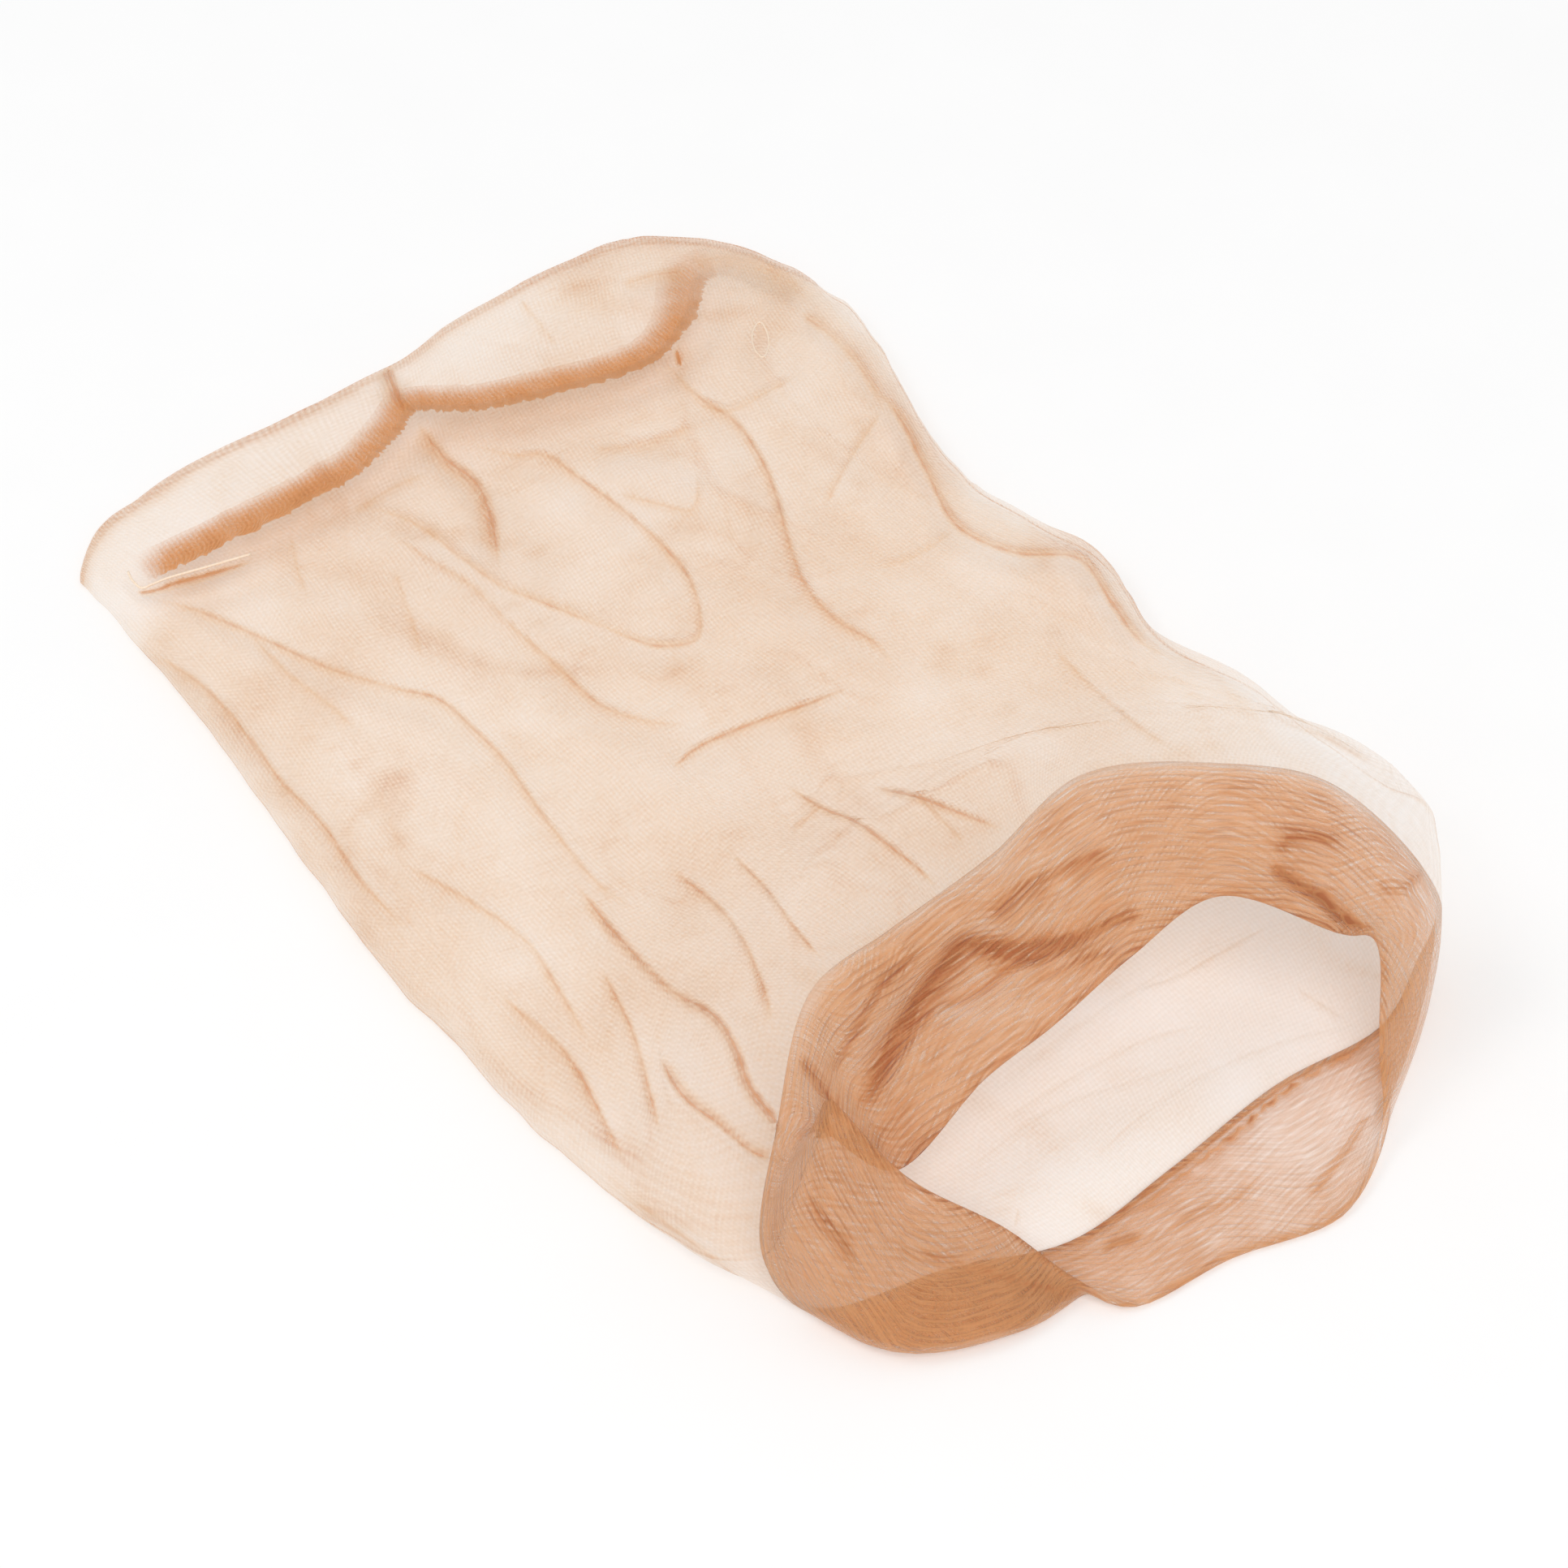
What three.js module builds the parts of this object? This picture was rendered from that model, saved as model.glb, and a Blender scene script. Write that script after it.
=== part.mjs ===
import * as THREE from 'three';

// A sheer knitted wig cap lying on a table: a bag of fine tube knit, closed across the crown by a
// seam and finished at the mouth with a doubled welt. X runs across the cap, Y along it from the
// mouth rim to the crown, and Z up from the table. All lengths are in millimetres.

const FLAT_WIDTH = 176; // tube laid flat, fold to fold
const OVERALL_LENGTH = 298; // mouth rim to the furthest stretch of the crown fold
const MOUTH_HEIGHT = 49; // table to the top of the propped welt
const BODY_HEIGHT = 15; // table to the top of the slack middle
const CROWN_HEIGHT = 8; // table to the top layer just before the crown fold
const CROWN_END_HEIGHT = 3.8; // outside height of the crown fold at its very end
const SIDE_FOLD_HEIGHT = 2.6; // middle of the rounded side folds above the table
const BAG_WALL = 1.0;
const WELT_WALL = 2.0;
const SEAM_WIDTH = 8; // seam allowance inside the crown
const SEAM_THICKNESS = 1.2;
const PIECE_GAP = 0.35; // left between pieces that the knit joins

const HALF_WIDTH = FLAT_WIDTH / 2;

// The mouth, a row for each station round it: the left fold, over the top, the right fold, then back
// along the table. across is a share of the half width, along of the overall length and up of the
// mouth height. The welt runs from rim, through waist, to joint, where the bag begins. parts is how
// finely the knit is divided from that station to the next.
const MOUTH = [
  { rim: [-0.465, 0.186, 0.73], waist: [-0.63, 0.158, 0.48], joint: [-0.68, 0.165, 0.2], parts: 5 },
  { rim: [-0.43, 0.192, 0.4], waist: [-0.5, 0.2, 0.56], joint: [-0.54, 0.208, 0.55], parts: 5 },
  { rim: [-0.36, 0.16, 0.33], waist: [-0.35, 0.212, 0.6], joint: [-0.35, 0.252, 0.82], parts: 4 },
  { rim: [-0.11, 0.165, 0.54], waist: [-0.12, 0.216, 0.73], joint: [-0.136, 0.257, 0.87], parts: 4 },
  { rim: [0.054, 0.163, 0.65], waist: [0.1, 0.216, 0.81], joint: [0.143, 0.265, 0.9], parts: 4 },
  { rim: [0.26, 0.164, 0.8], waist: [0.35, 0.222, 0.93], joint: [0.423, 0.277, 0.98], parts: 4 },
  { rim: [0.5, 0.164, 0.86], waist: [0.6, 0.205, 0.96], joint: [0.68, 0.235, 0.98], parts: 4 },
  { rim: [0.672, 0.11, 0.76], waist: [0.8, 0.155, 0.88], joint: [0.87, 0.188, 0.9], parts: 5 },
  { rim: [0.772, 0.099, 0.61], waist: [0.9, 0.098, 0.57], joint: [1.007, 0.118, 0.45], parts: 4 },
  { rim: [0.7, 0.062, 0.34], waist: [0.88, 0.078, 0.19], joint: [0.98, 0.117, 0.06], parts: 4 },
  { rim: [0.63, 0.028, 0.08], waist: [0.75, 0.058, 0.02], joint: [0.81, 0.097, 0], parts: 2 },
  { rim: [0.43, 0.0, 0], waist: [0.5, 0.05, 0], joint: [0.53, 0.1, 0], parts: 2 },
  { rim: [0.17, 0.015, 0], waist: [0.19, 0.044, 0], joint: [0.19, 0.087, 0], parts: 2 },
  { rim: [-0.1, 0.024, 0.02], waist: [-0.08, 0.047, 0], joint: [-0.09, 0.08, 0], parts: 2 },
  { rim: [-0.25, 0.087, 0.29], waist: [-0.31, 0.043, 0.04], joint: [-0.34, 0.107, 0], parts: 3 },
  { rim: [-0.4, 0.13, 0.53], waist: [-0.565, 0.074, 0.11], joint: [-0.645, 0.13, 0.03], parts: 5 },
];

// Cross sections of the bag. left and right are the side folds as shares of the half width, and
// leftLift and rightLift how far those folds stand off the table as shares of the mouth height. back
// is how far the middle of the top layer sits behind them, as a share of the length. The top layer's
// height is mouth of the mouth height, body of the body height and crown of the crown height, added
// up, and it is reached the sooner from the side folds the smaller swell is.
const SECTIONS = [
  {
    along: 0.19, left: -0.76, right: 1.195, leftLift: 0.08, rightLift: 0.28,
    back: 0.145, swell: 1.0, mouth: 0.84, body: 0, crown: 0,
  },
  {
    along: 0.24, left: -0.8, right: 1.22, leftLift: 0.02, rightLift: 0.1,
    back: 0.135, swell: 1.1, mouth: 0.6, body: 0, crown: 0,
  },
  {
    along: 0.3, left: -0.84, right: 1.205, leftLift: 0, rightLift: 0.05,
    back: 0.11, swell: 1.0, mouth: 0.34, body: 0.3, crown: 0,
  },
  {
    along: 0.36, left: -0.87, right: 1.195, leftLift: 0, rightLift: 0,
    back: 0.08, swell: 0.9, mouth: 0.14, body: 0.7, crown: 0,
  },
  {
    along: 0.44, left: -0.885, right: 1.11, leftLift: 0, rightLift: 0,
    back: 0.05, swell: 0.8, mouth: 0.03, body: 0.95, crown: 0,
  },
  {
    along: 0.52, left: -0.9, right: 1.15, leftLift: 0, rightLift: 0,
    back: 0.03, swell: 0.75, mouth: 0, body: 1, crown: 0,
  },
  {
    along: 0.58, left: -0.895, right: 1.095, leftLift: 0, rightLift: 0,
    back: 0.02, swell: 0.75, mouth: 0, body: 0.97, crown: 0,
  },
  {
    along: 0.64, left: -0.885, right: 1.045, leftLift: 0, rightLift: 0,
    back: 0.01, swell: 0.75, mouth: 0, body: 0.9, crown: 0,
  },
  {
    along: 0.72, left: -0.87, right: 1.09, leftLift: 0, rightLift: 0,
    back: 0.005, swell: 0.75, mouth: 0, body: 0.65, crown: 0.35,
  },
  {
    along: 0.8, left: -0.865, right: 1.15, leftLift: 0, rightLift: 0,
    back: 0, swell: 0.7, mouth: 0, body: 0.35, crown: 0.7,
  },
  {
    along: 0.85, left: -0.87, right: 1.18, leftLift: 0, rightLift: 0,
    back: 0, swell: 0.65, mouth: 0, body: 0, crown: 1.15,
  },
];

// The crown fold from its left corner to its right one, as shares of half width and length.
const CROWN = [
  { across: -0.873, along: 0.9175 },
  { across: -0.785, along: 0.954 },
  { across: -0.614, along: 0.971 },
  { across: -0.395, along: 0.978 },
  { across: -0.09, along: 0.979 },
  { across: 0.14, along: 0.985 },
  { across: 0.29, along: 0.994 },
  { across: 0.46, along: 0.999 },
  { across: 0.68, along: 1.0 },
  { across: 0.85, along: 0.994 },
  { across: 0.985, along: 0.967 },
  { across: 1.08, along: 0.932 },
  { across: 1.17, along: 0.875 },
];
const CORNER_ROUNDING = 3; // the higher, the sooner the layers part at the crown's corners
const CROWN_SHOULDER = 0.8; // where the top layer turns down, from the last section to the fold

// The seam allowance, from left to right.
const SEAM = [
  { across: -0.77, along: 0.896 },
  { across: -0.48, along: 0.893 },
  { across: -0.18, along: 0.896 },
  { across: -0.06, along: 0.91 },
  { across: 0.05, along: 0.924 },
  { across: 0.16, along: 0.903 },
  { across: 0.3, along: 0.888 },
  { across: 0.61, along: 0.869 },
  { across: 0.75, along: 0.888 },
  { across: 0.88, along: 0.925 },
  { across: 1.0, along: 0.915 },
  { across: 1.09, along: 0.862 },
];

// Main folds of the top layer, each a ridge from one place to another. rise is a share of the body
// height and spread, the half width of the ridge, a share of the half width of the cap.
const FOLDS = [
  { from: [-0.3, 0.83], to: [0.05, 0.62], rise: 0.16, spread: 0.07 },
  { from: [0.1, 0.86], to: [0.62, 0.6], rise: 0.2, spread: 0.08 },
  { from: [0.72, 0.8], to: [0.72, 0.55], rise: 0.18, spread: 0.08 },
  { from: [0.62, 0.56], to: [0.95, 0.36], rise: 0.14, spread: 0.08 },
  { from: [-0.62, 0.84], to: [-0.2, 0.55], rise: 0.18, spread: 0.08 },
  { from: [-0.2, 0.55], to: [-0.12, 0.32], rise: 0.2, spread: 0.08 },
  { from: [0.05, 0.6], to: [0.3, 0.42], rise: 0.16, spread: 0.08 },
  { from: [-0.5, 0.5], to: [-0.45, 0.3], rise: 0.16, spread: 0.07 },
];

// Lengthwise pleats of the welt, between two stations round the mouth. place runs from 0 at the rim
// to 1 at the joint, and depth is a share of the mouth height, down being negative.
const PLEATS = [
  { from: 1.2, to: 4.6, place: 0.5, depth: -0.09, spread: 0.16 },
  { from: 2.2, to: 5.2, place: 0.8, depth: 0.04, spread: 0.16 },
  { from: 5.8, to: 8.2, place: 0.25, depth: -0.05, spread: 0.16 },
];

// How finely each surface is divided.
const RING_STEPS = 3; // between two cross sections of the bag
const WELT_STEPS = 7; // from rim to joint
const SEAM_STEPS = 36;
const SEAM_LANES = 3;

const STATIONS = MOUTH.length;
const RIGHT_STATION = STATIONS / 2; // stations below this one are on the top layer

const vec = (x, y, z) => new THREE.Vector3(x, y, z);
const mix = THREE.MathUtils.lerp;
const smooth = (x) => THREE.MathUtils.smoothstep(x, 0, 1);

function place([across, along, up]) {
  return vec(across * HALF_WIDTH, along * OVERALL_LENGTH, up * MOUTH_HEIGHT);
}

// Keeps a point from sinking below the table.
function onTable(point) {
  point.z = Math.max(0, point.z);
  return point;
}

// Positions round a ring, in stations.
const AROUND = MOUTH.flatMap(({ parts }, station) =>
  Array.from({ length: parts }, (_, step) => station + step / parts));

function ringThrough(points) {
  const curve = new THREE.CatmullRomCurve3(points, true, 'centripetal');
  return AROUND.map((station) => curve.getPoint(station / STATIONS));
}

// Share of the way from the left fold to the right one, and how far into the layer, at a station.
function turn(station) {
  const angle = (Math.PI * station) / RIGHT_STATION;
  return { side: (1 - Math.cos(angle)) / 2, inward: Math.abs(Math.sin(angle)), top: angle < Math.PI };
}

function sectionRing(row) {
  const leftFold = SIDE_FOLD_HEIGHT + row.leftLift * MOUTH_HEIGHT;
  const rightFold = SIDE_FOLD_HEIGHT + row.rightLift * MOUTH_HEIGHT;
  const height = row.mouth * MOUTH_HEIGHT + row.body * BODY_HEIGHT + row.crown * CROWN_HEIGHT;
  return AROUND.map((station) => {
    const { side, inward, top } = turn(station);
    const x = mix(row.left, row.right, side) * HALF_WIDTH;
    const fold = mix(leftFold, rightFold, side);
    const back = top ? row.back * OVERALL_LENGTH * inward : 0;
    const z = top
      ? mix(fold, height, inward ** row.swell)
      : fold * Math.max(0, 1 - 2.2 * inward ** 0.8);
    return vec(x, row.along * OVERALL_LENGTH + back, z);
  });
}

function crownRing() {
  const line = new THREE.SplineCurve(CROWN.map((row) => new THREE.Vector2(row.across, row.along)));
  return AROUND.map((station) => {
    const { side, inward, top } = turn(station);
    const point = line.getPoint(side);
    const open = (top ? 1 : -1) * Math.min(1, CORNER_ROUNDING * inward);
    return vec(point.x * HALF_WIDTH, point.y * OVERALL_LENGTH, (CROWN_END_HEIGHT / 2) * (1 + open));
  });
}

function shoulderRing(last, end) {
  return last.map((point, i) => {
    const { inward, top } = turn(AROUND[i]);
    const shoulder = point.clone().lerp(end[i], CROWN_SHOULDER);
    const open = Math.min(1, CORNER_ROUNDING * inward);
    shoulder.z = mix(CROWN_END_HEIGHT / 2, top ? CROWN_HEIGHT : 0, top ? open / 2 + inward / 2 : open);
    return shoulder;
  });
}

// Distance in plan from a point to a fold's line, and how far along the line it falls.
function nearFold(point, fold) {
  const start = new THREE.Vector2(fold.from[0] * HALF_WIDTH, fold.from[1] * OVERALL_LENGTH);
  const line = new THREE.Vector2(fold.to[0] * HALF_WIDTH, fold.to[1] * OVERALL_LENGTH).sub(start);
  const here = new THREE.Vector2(point.x, point.y).sub(start);
  const share = THREE.MathUtils.clamp(here.dot(line) / line.lengthSq(), 0, 1);
  return { share, apart: here.sub(line.multiplyScalar(share)).length() };
}

function foldRise(point) {
  let rise = 0;
  for (const fold of FOLDS) {
    const { share, apart } = nearFold(point, fold);
    const across = Math.exp(-((apart / (fold.spread * HALF_WIDTH)) ** 2));
    rise += fold.rise * BODY_HEIGHT * across * Math.sin(Math.PI * mix(0.08, 0.92, share));
  }
  return rise;
}

function pleatRise(station, share) {
  let rise = 0;
  for (const pleat of PLEATS) {
    if (station <= pleat.from || station >= pleat.to) continue;
    const along = Math.sin((Math.PI * (station - pleat.from)) / (pleat.to - pleat.from));
    rise += pleat.depth * MOUTH_HEIGHT * along * Math.exp(-(((share - pleat.place) / pleat.spread) ** 2));
  }
  return rise;
}

// Normals of a closed-round grid of points, pointing away from the hollow.
function normalsOf(grid) {
  const around = grid[0].length;
  return grid.map((ring, j) =>
    ring.map((_, k) => {
      const before = grid[Math.max(j - 1, 0)][k];
      const after = grid[Math.min(j + 1, grid.length - 1)][k];
      const along = after.clone().sub(before);
      const round = ring[(k + 1) % around].clone().sub(ring[(k + around - 1) % around]);
      return round.cross(along).normalize();
    }),
  );
}

// The outer surface of the whole cap, as rings from the mouth rim to the crown fold.
function capSurface() {
  const column = (key) => ringThrough(MOUTH.map((row) => place(row[key])));
  const sections = SECTIONS.map(sectionRing);
  const end = crownRing();
  const rings = [column('rim'), column('waist'), column('joint'), ...sections];
  rings.push(shoulderRing(sections.at(-1), end), end);
  const curves = AROUND.map((_, k) => new THREE.CatmullRomCurve3(rings.map((ring) => ring[k])));
  const spans = rings.length - 1;
  const at = (ring) => curves.map((curve) => curve.getPoint(ring / spans));

  const welt = [];
  for (let step = 0; step <= WELT_STEPS; step += 1) {
    const share = step / WELT_STEPS;
    welt.push(at(2 * share).map((point, k) => {
      point.z += pleatRise(AROUND[k], share);
      return point;
    }));
  }
  const bag = [];
  for (let step = 0; step <= (spans - 2) * RING_STEPS; step += 1) {
    const fade = smooth(step / (2 * RING_STEPS));
    bag.push(at(2 + step / RING_STEPS).map((point, k) => {
      const { inward, top } = turn(AROUND[k]);
      if (top) point.z += foldRise(point) * smooth(2.5 * inward) * fade;
      return point;
    }));
  }
  [...welt, ...bag].flat().forEach((point) => onTable(point));
  return { welt, bag };
}

function inset(grid, normals, wall) {
  return grid.map((ring, j) => ring.map((point, k) =>
    onTable(point.clone().addScaledVector(normals[j][k], -wall))));
}

// Triangles between two lines of points that share their first and last places.
function stitch(one, other) {
  const faces = [];
  let i = 0;
  let j = 0;
  while (i < one.length - 1 || j < other.length - 1) {
    const stepOne = j === other.length - 1
      || (i < one.length - 1 && (i + 1) / (one.length - 1) <= (j + 1) / (other.length - 1));
    const next = stepOne ? one[i + 1] : other[j + 1];
    if (one[i] !== other[j] && next !== one[i] && next !== other[j]) faces.push([one[i], next, other[j]]);
    if (stepOne) i += 1;
    else j += 1;
  }
  return faces;
}

// A closed shell from an outer and an inner grid. closedEnd joins the top layer to the table layer
// at the last ring, and otherwise both ends are open rims.
function shell(outer, inner, closedEnd) {
  const around = outer[0].length;
  const last = outer.length - 1;
  const points = [...outer.flat(), ...inner.flat()];
  const innerStart = outer.flat().length;
  const out = (j, k) => j * around + (k % around);
  const into = (j, k) => innerStart + out(j, k);
  const faces = [];
  const quad = (a, b, c, d) => faces.push([a, b, c], [a, c, d]);
  for (let j = 0; j < last; j += 1) {
    for (let k = 0; k < around; k += 1) {
      quad(out(j, k), out(j, k + 1), out(j + 1, k + 1), out(j + 1, k));
      quad(into(j, k), into(j + 1, k), into(j + 1, k + 1), into(j, k + 1));
    }
  }
  for (let k = 0; k < around; k += 1) {
    quad(out(0, k), into(0, k), into(0, k + 1), out(0, k + 1));
    if (!closedEnd) quad(out(last, k), out(last, k + 1), into(last, k + 1), into(last, k));
  }
  if (closedEnd) {
    const corner = AROUND.indexOf(RIGHT_STATION);
    const layers = (index) => {
      const top = [];
      const table = [];
      for (let k = 0; k <= corner; k += 1) top.push(index(last, k));
      for (let k = around; k >= corner; k -= 1) table.push(index(last, k));
      return [top, table];
    };
    faces.push(...stitch(...layers(out)));
    faces.push(...stitch(...layers(into)).map(([a, b, c]) => [a, c, b]));
  }
  return { points, faces };
}

function volumeOf({ points, faces }) {
  const corner = (i) => points[i];
  return faces.reduce((sum, [a, b, c]) => sum + corner(a).dot(corner(b).clone().cross(corner(c))) / 6, 0);
}

function geometryOf(solid) {
  const outward = volumeOf(solid) > 0;
  const geometry = new THREE.BufferGeometry();
  const faces = solid.faces.map(([a, b, c]) => (outward ? [a, b, c] : [a, c, b]));
  geometry.setAttribute('position', new THREE.Float32BufferAttribute(
    solid.points.flatMap((point) => point.toArray()), 3));
  geometry.setIndex(faces.flat());
  geometry.computeVertexNormals();
  return geometry;
}

// Height of the underside of the top layer over a place in plan.
function ceilingOver(inner, x, y) {
  const spot = new THREE.Vector2(x, y);
  const corner = AROUND.indexOf(RIGHT_STATION);
  const flat = (point) => new THREE.Vector2(point.x, point.y);
  for (let j = inner.length - 2; j >= 0; j -= 1) {
    for (let k = 0; k < corner; k += 1) {
      const [a, b, c, d] = [inner[j][k], inner[j][k + 1], inner[j + 1][k + 1], inner[j + 1][k]];
      for (const [p, q, r] of [[a, b, c], [a, c, d]]) {
        const whole = flat(q).sub(flat(p)).cross(flat(r).sub(flat(p)));
        const u = flat(q).sub(spot).cross(flat(r).sub(spot)) / whole;
        const v = flat(r).sub(spot).cross(flat(p).sub(spot)) / whole;
        if (u >= 0 && v >= 0 && u + v <= 1) return u * p.z + v * q.z + (1 - u - v) * r.z;
      }
    }
  }
  throw new Error(`no knit over ${x}, ${y}`);
}

// The seam allowance: a flat strip that follows the seam just under the top layer.
function seamAllowance(inner) {
  const line = new THREE.SplineCurve(SEAM.map(
    (row) => new THREE.Vector2(row.across * HALF_WIDTH, row.along * OVERALL_LENGTH)));
  const lanes = 2 * (SEAM_LANES + 1);
  const rings = [];
  for (let step = 0; step <= SEAM_STEPS; step += 1) {
    const spot = line.getPoint(step / SEAM_STEPS);
    const tangent = line.getTangent(step / SEAM_STEPS);
    const top = [];
    for (let lane = 0; lane <= SEAM_LANES; lane += 1) {
      const off = (lane / SEAM_LANES - 0.5) * SEAM_WIDTH;
      const x = spot.x - tangent.y * off;
      const y = spot.y + tangent.x * off;
      top.push(vec(x, y, ceilingOver(inner, x, y) - PIECE_GAP));
    }
    const under = top.map((point) => vec(point.x, point.y, point.z - SEAM_THICKNESS)).reverse();
    rings.push([...top, ...under]);
  }
  const faces = [];
  for (let j = 0; j < SEAM_STEPS; j += 1) {
    for (let k = 0; k < lanes; k += 1) {
      const [a, b] = [j * lanes + k, j * lanes + ((k + 1) % lanes)];
      faces.push([a, b, b + lanes], [a, b + lanes, a + lanes]);
    }
  }
  for (let k = 0; k < SEAM_LANES; k += 1) {
    for (const [first, flip] of [[0, true], [SEAM_STEPS * lanes, false]]) {
      const [a, b, c, d] = [k, k + 1, lanes - 2 - k, lanes - 1 - k].map((i) => first + i);
      faces.push(...(flip ? [[a, c, b], [a, d, c]] : [[a, b, c], [a, c, d]]));
    }
  }
  return { points: rings.flat(), faces };
}

function buildCap() {
  const { welt, bag } = capSurface();
  const joint = welt.length - 1;
  const whole = [...welt, ...bag.slice(1)];
  const normals = normalsOf(whole);

  // The bag starts a gap behind the welt, square to the joint, and both are cut along the same
  // normals there.
  const around = AROUND.length;
  const start = bag[0].map((point, k) => {
    const round = bag[0][(k + 1) % around].clone().sub(bag[0][(k + around - 1) % around]);
    const behind = normals[joint][k].clone().cross(round).normalize();
    if (behind.dot(bag[1][k].clone().sub(welt[joint - 1][k])) < 0) behind.negate();
    return onTable(point.clone().addScaledVector(behind, PIECE_GAP));
  });
  const outerBag = [start, ...bag.slice(1)];
  const innerBag = inset(outerBag, normals.slice(joint), BAG_WALL);
  innerBag.at(-1).forEach((point, k) => {
    const ahead = outerBag.at(-2)[k].clone().sub(outerBag.at(-1)[k]).normalize();
    point.addScaledVector(ahead, BAG_WALL);
  });
  const innerWelt = inset(welt, normals.slice(0, joint + 1), WELT_WALL);

  return {
    crown_bag: shell(outerBag, innerBag, true),
    welt_band: shell(welt, innerWelt, false),
    toe_seam: seamAllowance(innerBag),
  };
}

const COLOURS = {
  crown_bag: { color: 0xecd3bd, roughness: 0.85 },
  welt_band: { color: 0xd9a780, roughness: 0.8 },
  toe_seam: { color: 0xcf9a6e, roughness: 0.85 },
};

const cap = new THREE.Group();
cap.name = 'wig_cap';
for (const [name, solid] of Object.entries(buildCap())) {
  const material = new THREE.MeshStandardMaterial({ ...COLOURS[name], metalness: 0 });
  const mesh = new THREE.Mesh(geometryOf(solid), material);
  mesh.name = name;
  cap.add(mesh);
}

// The origin is on the table under the middle of the cap.
const box = new THREE.Box3().setFromObject(cap);
const middle = box.getCenter(new THREE.Vector3());
for (const mesh of cap.children) mesh.position.set(-middle.x, -middle.y, -box.min.z);

export default cap;
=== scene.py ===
"""A sheer stocking wig cap lying on a pale table.

A bag of fine tube knit, a doubled welt round its propped mouth, the gathered seam allowance inside
the crown, and a loose end of sewing thread. The cap's surface runs in rings from the mouth rim to
the crown fold, and each ring runs in stations: the left fold, over the top, the right fold, then
back along the table. Lengths are in metres, and pixels are those of the photograph.
"""

import math

import bpy
import numpy as np
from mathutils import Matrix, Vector, noise
from mathutils.bvhtree import BVHTree


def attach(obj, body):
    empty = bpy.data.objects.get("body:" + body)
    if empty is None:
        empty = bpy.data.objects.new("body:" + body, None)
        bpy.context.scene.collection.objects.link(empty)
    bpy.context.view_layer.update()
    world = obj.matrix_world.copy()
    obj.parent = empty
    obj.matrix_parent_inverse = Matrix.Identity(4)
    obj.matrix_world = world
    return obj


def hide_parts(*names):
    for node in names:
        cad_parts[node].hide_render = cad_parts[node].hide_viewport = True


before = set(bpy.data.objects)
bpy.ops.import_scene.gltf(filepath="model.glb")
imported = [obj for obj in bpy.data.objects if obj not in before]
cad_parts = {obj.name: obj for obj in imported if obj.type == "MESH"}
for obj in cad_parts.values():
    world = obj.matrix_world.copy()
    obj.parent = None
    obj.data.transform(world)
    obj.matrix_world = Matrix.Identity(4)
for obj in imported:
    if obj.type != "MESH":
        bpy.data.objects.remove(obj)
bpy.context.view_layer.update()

# Driving sizes of the cap as it lies.
HALF_WIDTH = 0.088
LENGTH = 0.298
MOUTH_HEIGHT = 0.049
BODY_HEIGHT = 0.015
CROWN_HEIGHT = 0.008
CROWN_END_HEIGHT = 0.0038
SIDE_FOLD_HEIGHT = 0.0026
TABLE_ORIGIN = np.array((-0.01408, -0.14905, 0.0))  # where the tables below count from

# The mouth, a row for each station round it: rim, waist and joint with the bag, each as shares of
# half width across, length along and mouth height up.
MOUTH = [
    ((-0.465, 0.186, 0.73), (-0.63, 0.158, 0.48), (-0.68, 0.165, 0.2)),
    ((-0.43, 0.192, 0.4), (-0.5, 0.2, 0.56), (-0.54, 0.208, 0.55)),
    ((-0.36, 0.16, 0.33), (-0.35, 0.212, 0.6), (-0.35, 0.252, 0.82)),
    ((-0.11, 0.165, 0.54), (-0.12, 0.216, 0.73), (-0.136, 0.257, 0.87)),
    ((0.054, 0.163, 0.65), (0.1, 0.216, 0.81), (0.143, 0.265, 0.9)),
    ((0.26, 0.164, 0.8), (0.35, 0.222, 0.93), (0.423, 0.277, 0.98)),
    ((0.5, 0.164, 0.86), (0.6, 0.205, 0.96), (0.68, 0.235, 0.98)),
    ((0.672, 0.11, 0.76), (0.8, 0.155, 0.88), (0.87, 0.188, 0.9)),
    ((0.772, 0.099, 0.61), (0.9, 0.098, 0.57), (1.007, 0.118, 0.45)),
    ((0.7, 0.062, 0.34), (0.88, 0.078, 0.19), (0.98, 0.117, 0.06)),
    ((0.63, 0.028, 0.08), (0.75, 0.058, 0.02), (0.81, 0.097, 0)),
    ((0.43, 0.0, 0), (0.5, 0.05, 0), (0.53, 0.1, 0)),
    ((0.17, 0.015, 0), (0.19, 0.044, 0), (0.19, 0.087, 0)),
    ((-0.1, 0.024, 0.02), (-0.08, 0.047, 0), (-0.09, 0.08, 0)),
    ((-0.25, 0.087, 0.29), (-0.31, 0.043, 0.04), (-0.34, 0.107, 0)),
    ((-0.4, 0.13, 0.53), (-0.565, 0.074, 0.11), (-0.645, 0.13, 0.03)),
]

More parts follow.
